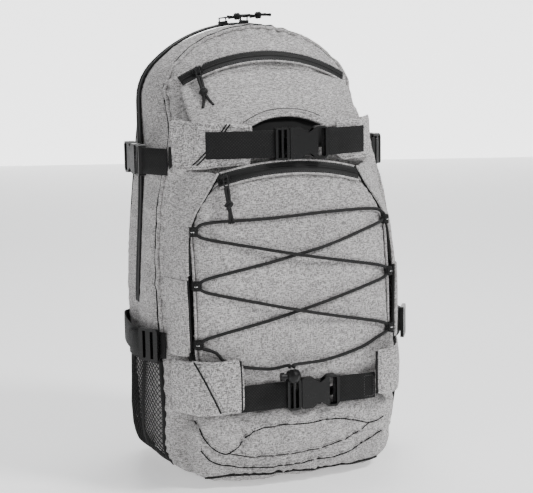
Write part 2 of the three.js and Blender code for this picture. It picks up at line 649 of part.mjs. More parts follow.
function makeElastic() {
  const on = (x, z, off = 0) => V(x, pocketFace(x, z) - CORD_RADIUS - 1.5 - off, z);
  const [top, middle, low] = LOOP_HEIGHTS;
  const turn = (s, z) => [[-14, 9, 0], [-1, 4, 1], [1.5, 0, 1.5], [-1, -4, 1], [-14, -9, 0]]
    .map(([out, rise, off]) => on(s * (LOOP_X + out), z + rise, off));
  const across = (s, z0, z1, off) => [0.3, 0.5, 0.7].map((t) => {
    const x = mix(s * (LOOP_X - 14), -s * (LOOP_X - 14), t);
    return on(x, mix(z0 - 9, z1 + 9, t), t === 0.5 ? off : off / 2);
  });
  // From the lock up one side, over the top and down the other, crossing itself between the loops.
  const route = [
    V(CORD_LOCK.x - 3, CORD_LOCK.y + 4, CORD_LOCK.z + 11),
    on(-40, 134), on(-80, 142),
    ...turn(-1, low).reverse(),
    ...across(1, middle, low, 0).reverse(),
    ...turn(1, middle).reverse(),
    ...across(-1, top, middle, 4.5).reverse(),
    ...turn(-1, top).reverse(),
    on(-30, top + 11), on(40, top + 14),
    ...turn(1, top + 4),
    ...across(1, top, middle, 0),
    ...turn(-1, middle),
    ...across(-1, middle, low, 4.5),
    ...turn(1, low),
    on(70, 146), on(30, 138),
    V(CORD_LOCK.x + 3, CORD_LOCK.y + 4, CORD_LOCK.z + 11),
  ];
  add("elastic_cord", cordAlong(route, CORD_RADIUS, 6, 120), "cord");

  // Webbing loops sewn in a row down each side of the pocket.
  for (const [side, name] of [[-1, "left"], [1, "right"]]) {
    const x = side * (FRONT_POCKET.halfWidth + 2.5);
    const edge = (z) => FRONT_POCKET.edge(x, z);
    const heights = range(8).map((i) => mix(...LOOP_TAPE_SPAN, i / 7));
    const tape = ribbon(heights.map((z) => V(x, edge(z) + 12, z)), 14, 1.2, V(0, 1, 0));
    const loops = LOOP_HEIGHTS.map((z) => ribbon(
      [V(x, edge(z) + 8, z), V(x, edge(z) - 3, z), V(side * (LOOP_X + 6), edge(z) - 9, z)], 10, 1.2));
    add(`loop_tape_${name}`, joined(tape, ...loops), "webbing");
  }

  // The cord lock: a ball with a sprung button on its left.
  const ball = new THREE.SphereGeometry(CORD_LOCK_RADIUS, 14, 9);
  const rodAlongX = (radius, from, to) =>
    rod(radius, to - from).rotateZ(Math.PI / 2).translate((from + to) / 2, 0, 0);
  const bore = rodAlongX(PLUNGER_RADIUS + 0.4, -25.5, 4.5);
  const eye = box(-5.5, 5.5, -2, 6.2, 5, 12);
  const { x, y, z } = CORD_LOCK;
  add("cord_lock_body", cut(ball, bore, eye).translate(x, y, z), "plastic");
  const button = joined(rodAlongX(PLUNGER_RADIUS, -12, 0), rodAlongX(4.6, -14.2, -10.8));
  add("cord_lock_button", button.translate(x, y, z), "plastic");
}

// ---------------------------------------------------------------- harness
// Middle line of a shoulder strap's pad, on the +X side, from its sewn top down.
const PAD_LINE = [
  V(47, 93.5, 450), V(50, 103, 428), V(56, 113, 400), V(64, 118, 352), V(71, 118, 300), V(78, 115, 250),
  V(83, 110, 205),
];
const PAD_WIDTH = table([[200, 40], [240, 50], [300, 60], [400, 62], [450, 54]]); // by height
const PAD_THICKNESS = 13;
const STERNUM_Z = 330;
const HAUL_LOOP = { halfSpan: 24, drop: 22, top: 482, width: 16, thickness: 2.4 };

// The same buckle for the chest strap's narrower webbing.
const narrowBuckle = (shape) => shape(BUCKLE).scale(0.9, 0.76, 0.8);

function padForm(points) {
  const rings = points.map((p, i) => {
    const after = points[Math.min(points.length - 1, i + 1)];
    const along = after.clone().sub(points[Math.max(0, i - 1)]).normalize();
    const across = V(1, 0, 0).addScaledVector(along, -along.x).normalize();
    const out = across.clone().cross(along).normalize();
    const half = PAD_WIDTH(p.z) / 2;
    const thick = PAD_THICKNESS / 2;
    return [[1, 0.35], [0.86, 1], [-0.86, 1], [-1, 0.35], [-1, -0.35], [-0.86, -1], [0.86, -1], [1, -0.35]]
      .map(([a, b]) => p.clone().addScaledVector(across, a * half).addScaledVector(out, b * thick));
  });
  return loft(rings);
}

function makeHarness() {
  const pad = padForm(new THREE.CatmullRomCurve3(PAD_LINE).getPoints(14));
  const foot = PAD_LINE[PAD_LINE.length - 1];
  const down = V(0.08, -0.14, -0.98).normalize();
  const lockAt = foot.clone().addScaledVector(down, 14);
  const facing = V(1, 0, 0).addScaledVector(down, -down.x).normalize().cross(down).negate();
  for (const [side, name] of [[1, "right"], [-1, "left"]]) {
    const strap = new THREE.Group();
    strap.scale.x = side;
    pack.add(strap);
    add(`shoulder_strap_${name}`, pad, "foam", strap);
    const lock = placed(ladderLockShape(NARROW_WEBBING, 24), lockAt, down, facing);
    add(`shoulder_adjuster_${name}`, lock, "plastic", strap);
    const from = lockAt.clone().addScaledVector(down, 13);
    const tail = [from, V(93, 103, 130), V(104, 98, 88), V(112, BACK_FACE + 2, 52)];
    const webbing = ribbon(tail, NARROW_WEBBING, WEBBING_THICKNESS, V(1, 0, 0));
    add(`shoulder_webbing_${name}`, webbing, "webbing", strap);
  }

  // The haul loop hangs behind the top, between the shoulder straps.
  const { halfSpan, drop, top, width, thickness } = HAUL_LOOP;
  const hanging = range(9).map((i) => {
    const angle = (Math.PI * i) / 8;
    return V(-halfSpan * Math.cos(angle), 0, -drop * Math.sin(angle));
  });
  const haul = ribbon([V(-halfSpan, 0, 8), ...hanging, V(halfSpan, 0, 8)], width, thickness, V(0, 1, 0));
  add("haul_loop", haul.translate(0, BACK_FACE + GAP + width / 2, top), "webbing");

  // Chest strap: two webbings and a small buckle, riding on both shoulder straps.
  const mouth = V(-6, 130.5, STERNUM_Z);
  add("sternum_plug", placed(narrowBuckle(plugShape), mouth, V(1, 0, 0), V(0, 1, 0)), "plastic");
  add("sternum_socket", placed(narrowBuckle(socketShape), mouth, V(1, 0, 0), V(0, 1, 0)), "plastic");
  const webbing = (x) => ribbon([V(x, mouth.y, STERNUM_Z), V(Math.sign(x) * 48, 128, STERNUM_Z),
    V(Math.sign(x) * 84, 126.6, STERNUM_Z)], NARROW_WEBBING, WEBBING_THICKNESS);
  add("sternum_strap_left", webbing(mouth.x - 15.6), "webbing");
  add("sternum_strap_right", webbing(mouth.x + 40.5), "webbing");
}

makeShell();
makeBack();
makePockets();
makeZips();
makeBoardStraps();
makeSideStraps();
makeElastic();
makeHarness();

export default pack;
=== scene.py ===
"""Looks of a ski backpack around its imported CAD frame: fabric, webbing, zips, buckles, cords and padding."""

import json
import math

import bmesh
import bpy
import numpy as np
from mathutils import Matrix, Vector, noise
from mathutils.bvhtree import BVHTree
from mathutils.kdtree import KDTree


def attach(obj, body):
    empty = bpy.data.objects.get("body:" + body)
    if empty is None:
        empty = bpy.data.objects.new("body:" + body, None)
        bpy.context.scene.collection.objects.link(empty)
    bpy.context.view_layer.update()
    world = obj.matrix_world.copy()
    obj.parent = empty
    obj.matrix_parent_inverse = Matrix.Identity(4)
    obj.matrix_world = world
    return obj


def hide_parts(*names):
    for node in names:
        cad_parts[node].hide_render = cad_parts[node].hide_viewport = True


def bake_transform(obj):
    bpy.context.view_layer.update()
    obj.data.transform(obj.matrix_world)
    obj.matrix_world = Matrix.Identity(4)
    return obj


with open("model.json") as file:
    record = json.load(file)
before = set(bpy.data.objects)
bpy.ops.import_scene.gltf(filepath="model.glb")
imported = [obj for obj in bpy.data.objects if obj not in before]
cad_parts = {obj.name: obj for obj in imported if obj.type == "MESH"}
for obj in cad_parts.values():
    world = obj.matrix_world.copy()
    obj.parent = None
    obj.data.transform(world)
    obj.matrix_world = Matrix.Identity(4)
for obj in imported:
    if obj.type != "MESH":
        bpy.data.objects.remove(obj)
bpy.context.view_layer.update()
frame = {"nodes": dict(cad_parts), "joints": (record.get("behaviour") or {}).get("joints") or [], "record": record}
NODES = frame["nodes"]
MM = 0.001
SIDES = ((-1, "left"), (1, "right"))

# ------------------------------------------------------------------ driving sizes, in millimetres
# x is to the right seen from the front, y to the back, and z up from the ground.
BODY_TOP = 498
TOP_RADIUS = 147
SHOULDER_RADIUS = 58
BOTTOM_CORNER = 42
BOTTOM_HALF = 136
BOTTOM_RISE = 1.5
FLOOR = 4
BACK_Y = 80
IN_FRONT = -260
GUSSET_BACK = 64
SPINE = (84, 380)
SEAM_PART = .985
MAIN_ZIP_FOOT = 188
SIDE_POINTS = [(139, 120), (141, 195), (138, 262), (129.5, 345)]
WEBBING = 29
NARROW = 20
ZIP_WIDTH = 14
STRAP_Z = {"upper": 373, "lower": 104}
MOUTH = {"upper": (-3, -99), "lower": (-2, -121)}
SIDE_Z = 354
LOW_SIDE_Z = 158
LOOP_HEIGHTS = (284, 227, 164)
LOOP_X = 108
MESH_FOOT = 18
MESH_HEIGHT = 124
PAD_THICK = 13
CORD_LOCK = (-16, -136, 128)
CORD_RADIUS = 1.75
POCKET_BACK = -40
FRONT_BELLY = 12
LOWER_BELLY = 16
FRONT = dict(half=112, low=106, high=326, corner=48, arch=20, swollen=7)
LOWER = dict(half=116, low=8, high=87, corner=30, arch=0, swollen=10)


def curve_table(pairs):
    """A smooth value through [position, value] pairs, level beyond both ends."""
    xs, ys = np.array(pairs, float).T
    slopes = np.gradient(ys, xs)

    def at(x):
        x = np.clip(np.asarray(x, float), xs[0], xs[-1])
        i = np.clip(np.searchsorted(xs, x, side="right") - 1, 0, len(xs) - 2)
        h = xs[i + 1] - xs[i]
        t = (x - xs[i]) / h
        return ((1 + 2 * t) * (1 - t) ** 2 * ys[i] + t * (1 - t) ** 2 * h * slopes[i]
                + t * t * (3 - 2 * t) * ys[i + 1] + t * t * (t - 1) * h * slopes[i + 1])

    return at


seam_y = curve_table([(0, -58), (83, -64), (150, -62), (250, -50), (337, -38), (370, -31), (420, 2),
                      (470, 12), (498, 16)])
swell = curve_table([(0, 10), (83, 10), (150, 10), (250, 16), (337, 34), (375, 48), (400, 44), (435, 36),
                     (464, 26), (485, 13), (498, 4)])
taper = curve_table([(300, 1), (350, .95), (385, .9), (440, .91), (498, .94)])
zip_y = curve_table([(0, 44), (367, 44), (397, 59), (418, 68), (440, 70)])
front_edge = curve_table([(124, -98), (163, -99), (227, -97), (284, -89), (336, -80), (350, -79)])
lower_edge = curve_table([(8, -80), (30, -86), (88, -92)])
belly = lambda x, half: 1 - (np.asarray(x) / half) ** 2


# ------------------------------------------------------------------ curves
def spline(points, count):
    """Points evenly spaced along a smooth curve through the given ones."""
    p = np.array(points, float)
    if len(p) == 2:
        return p[0] + (p[1] - p[0]) * np.linspace(0, 1, count)[:, None]
    ends = np.vstack([2 * p[0] - p[1], p, 2 * p[-1] - p[-2]])
    dense = []
    for a, b, c, d in zip(ends, ends[1:], ends[2:], ends[3:]):
        t = np.linspace(0, 1, 24, endpoint=False)[:, None]
        dense.append(.5 * (2 * b + (c - a) * t + (2 * a - 5 * b + 4 * c - d) * t ** 2
                           + (3 * b - a - 3 * c + d) * t ** 3))
    return spaced(np.vstack([*dense, p[-1:]]), count)


def run_of(points):
    """How far along a polyline each of its points lies."""
    return np.concatenate([[0], np.cumsum(np.linalg.norm(np.diff(points, axis=0), axis=1))])


def len_of(line):
    return float(np.sum(np.linalg.norm(np.diff(np.asarray(line, float), axis=0), axis=1)))


def unit(v):
    v = np.asarray(v, float)
    return v / np.maximum(np.linalg.norm(v, axis=-1, keepdims=True), 1e-9)


def directions(points):
    """The direction of a polyline at each of its points."""
    return unit(np.gradient(points, axis=0))


def looped(ring):
    """A ring of points with its first point repeated at the end."""
    return np.vstack([ring, ring[:1]])


def spaced(points, count):
    """The same polyline as evenly spaced points."""
    run = run_of(points)
    at = np.linspace(0, run[-1], count)
    return np.stack([np.interp(at, run, points[:, k]) for k in range(points.shape[1])], 1)


def arc(centre, radius, a0, a1, count=40):
    """Points on a circle from angle a0 to a1."""
    a = np.linspace(a0, a1, count)
    return np.stack([centre[0] + radius * np.cos(a), centre[1] + radius * np.sin(a)], 1)


def body_outline(count):
    """The body's outline from the front, as a closed ring of (x, z)."""
    flat = BOTTOM_HALF - BOTTOM_CORNER
    centre = BODY_TOP - TOP_RADIUS
    shoulder = (TOP_RADIUS - SHOULDER_RADIUS) * math.sqrt(.5)
    lean = .12
    t = np.linspace(0, 1, 20)[:, None]
    bottom = np.hstack([flat * t, FLOOR + BOTTOM_RISE * t ** 2])
    corner = arc((flat, FLOOR + BOTTOM_RISE + BOTTOM_CORNER), BOTTOM_CORNER, -math.pi / 2, 0)
    high = arc((shoulder, centre + shoulder), SHOULDER_RADIUS, lean, math.pi / 4)
    side = spline([corner[-1], *SIDE_POINTS, high[0]], 120)
    top = arc((0, centre), TOP_RADIUS, math.pi / 4, math.pi / 2)
    half = spaced(np.vstack([bottom, corner[1:], side[1:], high[1:], top[1:]]), count // 2 + 1)
    return np.vstack([half, half[-2:0:-1] * (-1, 1)])


def spine_of(z):
    return np.clip(z, *SPINE)


# ------------------------------------------------------------------ objects
def obj_of(name, verts, faces, material, body="pack", lay=None):
    """A new piece from points in millimetres, which rides on a body."""
    mesh = bpy.data.meshes.new(name)
    mesh.from_pydata((np.asarray(verts, float) * MM).tolist(), [], [tuple(map(int, f)) for f in faces])
    if lay is not None:
        mesh.attributes.new("lay", "FLOAT_VECTOR", "POINT").data.foreach_set(
            "vector", np.asarray(lay, np.float32).ravel())
    mesh.validate()
    bm = bmesh.new()
    bm.from_mesh(mesh)
    bmesh.ops.recalc_face_normals(bm, faces=bm.faces)
    bm.to_mesh(mesh)
    bm.free()
    mesh.shade_smooth()
    obj = bpy.data.objects.new(name, mesh)
    bpy.context.scene.collection.objects.link(obj)
    mesh.materials.append(material)
    if body:
        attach(obj, body)
    return obj


def placed(piece, slot, cad=None):
    """Hides the CAD node that a piece stands for, if it stands for one; the slot is not used."""
    if cad:
        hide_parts(cad)
    return piece


def modifier(obj, kind, **settings):
    m = obj.modifiers.new(kind.lower(), kind)
    for key, value in settings.items():
        setattr(m, key, value)
    return m


def applied(obj):
    """Applies every modifier of obj."""
    bpy.context.view_layer.update()
    depsgraph = bpy.context.evaluated_depsgraph_get()
    mesh = bpy.data.meshes.new_from_object(obj.evaluated_get(depsgraph))
    obj.modifiers.clear()
    old = obj.data
    obj.data = mesh
    bpy.data.meshes.remove(old)
    mesh.name = obj.name
    return obj


def coords(obj):
    co = np.zeros(len(obj.data.vertices) * 3)
    obj.data.vertices.foreach_get("co", co)
    return co.reshape(-1, 3)


def set_coords(obj, co):
    obj.data.vertices.foreach_set("co", np.asarray(co, float).ravel())
    obj.data.update()


def normals(obj):
    n = np.zeros(len(obj.data.vertices) * 3)
    obj.data.vertices.foreach_get("normal", n)
    return n.reshape(-1, 3)


def ring_faces(rows, cols):
    """Quads between rings of cols points each."""
    faces = []
    for r in range(rows - 1):
        for c in range(cols):
            d = (c + 1) % cols
            faces.append((r * cols + c, r * cols + d, (r + 1) * cols + d, (r + 1) * cols + c))
    return faces


def lofted(name, rings, material, body="pack", lay=None):
    """A closed body through rings of the same number of points."""
    count = len(rings[0])
    last = (len(rings) - 1) * count
    faces = ring_faces(len(rings), count)
    faces += [tuple(range(count)), tuple(last + i for i in range(count))]
    return obj_of(name, np.vstack(rings), faces, material, body, lay=lay)


def swept(name, points, out, section, material, body="pack"):
    """A section of (across, out) offsets carried along points; out is one direction, or one a point."""
    points = np.asarray(points, float)
    along = directions(points)
    out = np.broadcast_to(np.asarray(out, float), points.shape)
    out = unit(out - along * np.sum(out * along, axis=1, keepdims=True))
    across = np.cross(along, out)
    run = run_of(points)
    section = np.asarray(section, float)
    rings, lay = [], []
    for p, n, a, u in zip(points, out, across, run):
        rings.append(p + section[:, :1] * a + section[:, 1:] * n)
        lay.append(np.stack([np.full(len(section), u), section[:, 0], section[:, 1]], 1))
    return lofted(name, rings, material, body, lay=np.vstack(lay) * MM)


def flat_section(width, thick, edge=.45):
    """A strap's section with rounded edges."""
    w, t = width / 2, thick / 2
    return [(w, edge * t), (w - .5 * t, t), (w / 3, t), (-w / 3, t), (-w + .5 * t, t), (-w, edge * t),
            (-w, -edge * t), (-w + .5 * t, -t), (-w / 3, -t), (w / 3, -t), (w - .5 * t, -t), (w, -edge * t)]


def round_section(radius, sides=10):
    a = np.linspace(0, 2 * math.pi, sides, endpoint=False)
    return np.stack([radius * np.cos(a), radius * np.sin(a)], 1)


def strap(name, points, width, material, body="pack", out=(0, -1, 0), thick=1.7, count=48):
    return swept(name, spline(points, count), out, flat_section(width, thick), material, body)


def tube(name, points, radius, material, body="pack", count=60, sides=10):
    """A round cord or piping through points."""
    p = spline(points, count)
    along = directions(p)
    out = [unit(np.cross(along[0], (.3, .5, .8)))]
    for a in along[1:]:
        n = out[-1] - a * np.dot(out[-1], a)
        out.append(unit(n))
    return swept(name, p, np.array(out), round_section(radius, sides), material, body)


def tree_of(obj):
    bpy.context.view_layer.update()
    return BVHTree.FromObject(obj, bpy.context.evaluated_depsgraph_get())


def cast(tree, origin, direction, reach=.6):
    """Where a ray in millimetres meets the surface, as (point, normal), or None."""
    hit, normal, _, _ = tree.ray_cast(Vector(np.asarray(origin, float) * MM), Vector(direction).normalized(),
                                      reach)
    return None if hit is None else (np.array(hit) / MM, np.array(normal))


def on_front(tree, path, lift=0.0):
    """Points (x, z) laid on a surface seen from the front, and the normals there."""
    points, ns = [], []
    for x, z in path:
        found = cast(tree, (x, IN_FRONT, z), (0, 1, 0))
        if found:
            points.append(found[0] + found[1] * lift)
            ns.append(found[1])
    return np.array(points), np.array(ns)


def stitches(name, points, ns, material, body="pack", length=2.6, gap=1.2, radius=.34, lift=.15):
    """A row of thread stitches along points, lying on the surface."""
    points = np.asarray(points, float)
    ns = np.broadcast_to(np.asarray(ns, float), points.shape)
    run = run_of(points)
    verts, faces = [], []
    start = 0.0
    while start + length < run[-1]:
        ends = [np.array([np.interp(s, run, points[:, k]) for k in range(3)]) for s in (start,
                                                                                        start + length)]
        n = unit(np.array([np.interp(start, run, ns[:, k]) for k in range(3)]))
        a = unit(ends[1] - ends[0])
        side = np.cross(a, n)
        base = len(verts)
        for t, r in ((0, .35), (.2, 1), (.8, 1), (1, .35)):
            c = ends[0] + (ends[1] - ends[0]) * t + n * (lift - (1 - r) * radius)
            for k in range(5):
                w = 2 * math.pi * k / 5
                verts.append(c + radius * r * (side * math.cos(w) + n * math.sin(w)))
        for r in range(3):
            for k in range(5):
                j = (k + 1) % 5
                faces.append((base + r * 5 + k, base + r * 5 + j, base + r * 5 + 5 + j, base + r * 5 + 5 + k))
        faces += [tuple(base + k for k in range(5)), tuple(base + 15 + k for k in range(5))]
        start += length + gap
    return obj_of(name, verts, faces, material, body)


# ------------------------------------------------------------------ materials
def tree(name):
    m = bpy.data.materials.new(name)
    m.use_nodes = True
    nt = m.node_tree
    nt.nodes.clear()
    out = nt.nodes.new("ShaderNodeOutputMaterial")
    shader = nt.nodes.new("ShaderNodeBsdfPrincipled")
    nt.links.new(shader.outputs[0], out.inputs[0])
    return m, nt, shader


class Net:
    """Short names for the nodes of one material."""

    def __init__(self, name, **values):
        self.material, self.nt, self.shader = tree(name)
        for key, value in values.items():
            self.shader.inputs[key.replace("_", " ")].default_value = value

    def node(self, kind, *links, **settings):
        n = self.nt.nodes.new("ShaderNode" + kind)
        for key, value in settings.items():
            if key in n.inputs:
                n.inputs[key].default_value = value
            else:
                setattr(n, key, value)
        for socket, source in links:
            self.nt.links.new(source, n.inputs[socket])
        return n

    def where(self, scale=(1, 1, 1), turn=(0, 0, 0), attribute=None):
        if attribute:
            source = self.node("Attribute", attribute_name=attribute).outputs["Vector"]
        else:
            source = self.node("TexCoord").outputs["Object"]
        n = self.node("Mapping", (0, source))
        n.inputs["Rotation"].default_value = turn
        n.inputs["Scale"].default_value = scale
        return n.outputs[0]

    def noise(self, where, scale=1.0, detail=3.0, rough=.55):
        return self.node("TexNoise", ("Vector", where), Scale=scale, Detail=detail,
                         Roughness=rough).outputs[0]

    def math(self, kind, a, b=None):
        n = self.node("Math", operation=kind)
        for i, v in enumerate((a, b)):
            if v is None:
                continue
            if isinstance(v, (int, float)):
                n.inputs[i].default_value = v
            else:
                self.nt.links.new(v, n.inputs[i])
        return n.outputs[0]

    def add(self, a, b):
        return self.math("ADD", a, b)

    def times(self, a, b):
        return self.math("MULTIPLY", a, b)

    def sine(self, a):
        return self.math("SINE", a)

    def ramp(self, value, *stops):
        n = self.node("ValToRGB", (0, value))
        e = n.color_ramp.elements
        while len(e) < len(stops):
            e.new(.5)
        for element, (position, colour) in zip(e, stops):
            element.position = position
            element.color = (*colour, 1) if hasattr(colour, "__len__") else (colour, colour, colour, 1)
        return n.outputs[0]

    def mix(self, kind, factor, a, b):
        n = self.node("Mix", data_type="RGBA", blend_type=kind)
        for socket, v in ((0, factor), (6, a), (7, b)):
            if isinstance(v, (int, float)):
                n.inputs[socket].default_value = v
            elif isinstance(v, tuple):
                n.inputs[socket].default_value = (*v, 1)
            else:
                self.nt.links.new(v, n.inputs[socket])
        return n.outputs[2]

    def bump(self, height, strength, distance):
        n = self.node("Bump", ("Height", height), Strength=strength, Distance=distance)
        self.nt.links.new(n.outputs[0], self.shader.inputs["Normal"])

    def glow(self, strength):
        self.shader.inputs["Emission Color"].default_value = (1, 1, 1, 1)
        self.shader.inputs["Emission Strength"].default_value = strength

    def to(self, socket, value):
        self.nt.links.new(value, self.shader.inputs[socket])


def melange(name, light, dark, turn=(0, 0, 0), contrast=1.0):
    """Two-tone polyester: pale and dark yarns that cross, in short flecks."""
    net = Net(name, Roughness=.95, Sheen_Weight=.08, Sheen_Roughness=.6, Specular_IOR_Level=.12)
    level = net.noise(net.where((270, 270, 1350), turn), detail=2)
    upright = net.noise(net.where((1350, 1350, 290), turn), detail=2)
    grain = net.noise(net.where((1900, 1900, 1900), turn), detail=1)
    yarn = net.math("MAXIMUM", level, net.times(upright, .96))
    fleck = net.add(net.times(yarn, .78), net.times(grain, .22))
    spread = .088 / contrast
    tone = net.ramp(fleck, (.565 - spread, dark), (.565, tuple((a + 2 * b) / 3 for a, b in zip(dark, light))),
                    (.565 + spread, light))
    cloud = net.noise(net.where((9, 9, 9)), detail=3)
    shade = net.ramp(cloud, (.3, .86), (.7, 1.06))
    net.to("Base Color", net.mix("MULTIPLY", 1.0, tone, shade))
    weave = net.add(yarn, net.times(grain, .5))
    net.bump(weave, .35, .0004)
    return net.material


def webbing_look(name, tone=.006):
    """Black woven strap: fine ribs in a chevron along its length."""
    net = Net(name, Roughness=.75, Sheen_Weight=.06, Sheen_Roughness=.35, Specular_IOR_Level=.2)
    lay = net.node("SeparateXYZ", (0, net.where(attribute="lay"))).outputs
    fold = net.math("ABSOLUTE", net.math("SUBTRACT", net.math("FRACT", net.times(lay[1], 138)), .5))
    slant = net.add(net.times(lay[0], 5200), net.times(fold, 14))
    cell = 2 * math.pi / .0034
    grid = net.times(net.sine(net.times(lay[0], cell)),
                    net.sine(net.times(lay[1], cell)))
    rib = net.add(net.times(net.sine(slant), .4), net.times(grid, .6))
    fuzz = net.noise(net.where((2600, 2600, 2600)), detail=2)
    height = net.add(net.times(rib, .5), fuzz)
    colour = net.ramp(height, (.1, tone * .4), (.75, tone * 1.6), (1.0, tone * 6))
    net.to("Base Color", colour)
    net.bump(height, .5, .0004)
    return net.material


def braid_look(name, tone=.007):
    """Round cord with a braided cover."""
    net = Net(name, Roughness=.6, Sheen_Weight=.06, Sheen_Roughness=.4, Specular_IOR_Level=.25)
    lay = net.node("SeparateXYZ", (0, net.where(attribute="lay"))).outputs
    turn = net.math("ARCTAN2", lay[1], lay[2])
    along = net.times(lay[0], 2600)
    one = net.sine(net.add(along, net.times(turn, 4)))
    two = net.sine(net.math("SUBTRACT", along, net.times(turn, 4)))
    height = net.add(net.times(net.times(one, two), .5), .5)
    net.to("Base Color", net.ramp(height, (0, tone * .5), (1, tone * 2)))
    net.bump(height, .6, .0004)
    return net.material


def plastic_look(name, tone=.0035, rough=.3):
    """Moulded acetal: satin, with faint flow marks and scuffs."""
    net = Net(name, Specular_IOR_Level=.22, Coat_Weight=.06, Coat_Roughness=.25)
    scuff = net.noise(net.where((420, 420, 420)), detail=4, rough=.7)
    cloud = net.noise(net.where((60, 60, 60)), detail=2)
    net.to("Base Color", net.ramp(scuff, (.3, tone * .85), (.72, tone * 1.15), (.8, tone * 1.7)))
    net.to("Roughness", net.ramp(net.add(net.times(scuff, .5), net.times(cloud, .5)),
                                 (.35, rough - .07), (.65, rough + .1)))
    net.bump(net.noise(net.where((1500, 1500, 1500)), detail=2), .12, .0002)
    return net.material


def metal_look(name):
    net = Net(name, Metallic=.75, Specular_IOR_Level=.5)
    wear = net.noise(net.where((900, 900, 900)), detail=4, rough=.7)
    net.to("Base Color", net.ramp(wear, (.45, .022), (.68, .05), (.78, .2)))
    net.to("Roughness", net.ramp(wear, (.3, .28), (.7, .5)))
    net.bump(wear, .15, .0002)
    return net.material


def cloth_look(name, light, dark, pitch=.0011, rough=.85, sheen=.2):
    """Plain dark cloth with a visible square weave."""
    net = Net(name, Roughness=rough, Sheen_Weight=sheen, Sheen_Roughness=.5, Specular_IOR_Level=.25)
    k = 2 * math.pi / pitch
    p = net.node("SeparateXYZ", (0, net.where())).outputs
    flat = net.sine(net.times(net.add(p[0], p[1]), k))
    up = net.sine(net.times(p[2], k))
    weave = net.add(net.times(net.times(flat, up), .3), .5)
    fuzz = net.noise(net.where((1300, 1300, 1300)), detail=3)
    height = net.add(net.times(weave, .6), net.times(fuzz, .5))
    net.to("Base Color", net.ramp(height, (.35, dark), (.75, light)))
    net.bump(height, .4, .0004)
    return net.material


def spacer_look(name):
    """Three-layer air mesh: rows of small holes, coloured darker in the holes."""
    net = Net(name, Roughness=.8, Sheen_Weight=.3, Sheen_Roughness=.5, Specular_IOR_Level=.3)
    p = net.node("SeparateXYZ", (0, net.where())).outputs
    rows = net.times(p[2], 2 * math.pi / .0034)
    shift = net.times(net.add(p[0], net.times(p[1], .6)), 2 * math.pi / .0042)
    one = net.sine(net.add(shift, net.times(rows, .5)))
    two = net.sine(net.math("SUBTRACT", shift, net.times(rows, .5)))
    cell = net.times(one, two)
    fuzz = net.noise(net.where((1700, 1700, 1700)), detail=2)
    height = net.add(cell, net.times(fuzz, .25))
    net.to("Base Color", net.ramp(height, (.0, .004), (.35, .02), (.9, .045)))
    net.bump(height, .7, .0007)
    return net.material


def thread_look(name, tone):
    net = Net(name, Roughness=.6, Sheen_Weight=.3, Specular_IOR_Level=.4)
    twist = net.noise(net.where((3000, 3000, 3000)), detail=1)
    net.to("Base Color", net.ramp(twist, (.3, tone * .7), (.7, tone * 1.15)))
    net.bump(twist, .3, .0002)
    return net.material


GREY_LIGHT = (.62, .603, .598)
GREY_DARK = (.165, .159, .157)
SHELL = melange("shell_fabric", GREY_LIGHT, GREY_DARK)
WING = melange("wing_fabric", tuple(c * 1.1 for c in GREY_LIGHT), tuple(c * .85 for c in GREY_DARK),
               turn=(0, math.radians(38), 0), contrast=1.15)
WEB = webbing_look("webbing")
BRAID = braid_look("braid")
PLASTIC = plastic_look("buckle_plastic")
METAL = metal_look("slider_metal")
BLACK = cloth_look("black_cloth", .012, .004, sheen=.05)
DARK = cloth_look("dark_cloth", .04, .016, sheen=.1)
TAPE = cloth_look("zip_tape", .01, .003, pitch=.0014, rough=.6, sheen=.04)
SPACER = spacer_look("spacer_mesh")
STRAND = cloth_look("mesh_strand", .014, .006, pitch=.0007, rough=.5, sheen=.03)
PALE_THREAD = thread_look("pale_thread", .42)
DARK_THREAD = thread_look("dark_thread", .03)
REFLECT = thread_look("reflective_thread", .85)
FOAM_EDGE = cloth_look("binding", .016, .006, pitch=.0009, sheen=.08)


# ------------------------------------------------------------------ soft shaping
def remeshed(obj, voxel):
    modifier(obj, "REMESH", mode="VOXEL", voxel_size=voxel * MM, use_smooth_shade=True)
    return applied(obj)


def relaxed(obj, times, factor=.5):
    modifier(obj, "SMOOTH", iterations=times, factor=factor)
    return applied(obj)


def inflated(obj, pins, cap, pressure=4.0, grow=0.0, frames=20, bending=.5, tension=12.0):
    """Swells a closed fabric piece by cloth simulation. pins is how firmly each vertex is held, 0 to 1."""
    rest = coords(obj)
    group = obj.vertex_groups.new(name="pins")
    for weight in np.unique(np.round(pins, 1)):
        if weight > 0:
            group.add(np.nonzero(np.round(pins, 1) == weight)[0].tolist(), float(weight), "REPLACE")
    cloth = modifier(obj, "CLOTH")
    s = cloth.settings
    s.quality = 5
    s.mass = .25
    s.tension_stiffness = s.compression_stiffness = tension
    s.shear_stiffness = tension * .4
    s.bending_stiffness = bending
    s.use_pressure = True
    s.uniform_pressure_force = pressure
    s.vertex_group_mass = "pins"
    s.pin_stiffness = 1
    s.shrink_min = -grow
    s.shrink_max = -grow
    s.effector_weights.gravity = 0
    cloth.collision_settings.use_collision = False
    cloth.collision_settings.use_self_collision = False
    scene = bpy.context.scene
    for f in range(1, frames + 1):
        scene.frame_set(f)
    bpy.context.view_layer.update()
    mesh = bpy.data.meshes.new_from_object(obj.evaluated_get(bpy.context.evaluated_depsgraph_get()))
    moved = np.zeros(len(mesh.vertices) * 3)
    mesh.vertices.foreach_get("co", moved)
    obj.modifiers.clear()
    obj.vertex_groups.clear()
    bpy.data.meshes.remove(mesh)
    scene.frame_set(1)
    step = moved.reshape(-1, 3) - rest
    size = np.linalg.norm(step, axis=1, keepdims=True)
    limit = cap * MM
    step *= np.where(size > 1e-9, limit * np.tanh(size / limit) / np.maximum(size, 1e-9), 1)
    set_coords(obj, rest + step)
    return obj


def subdivided(obj, levels=1):
    modifier(obj, "SUBSURF", levels=levels, render_levels=levels)
    return applied(obj)


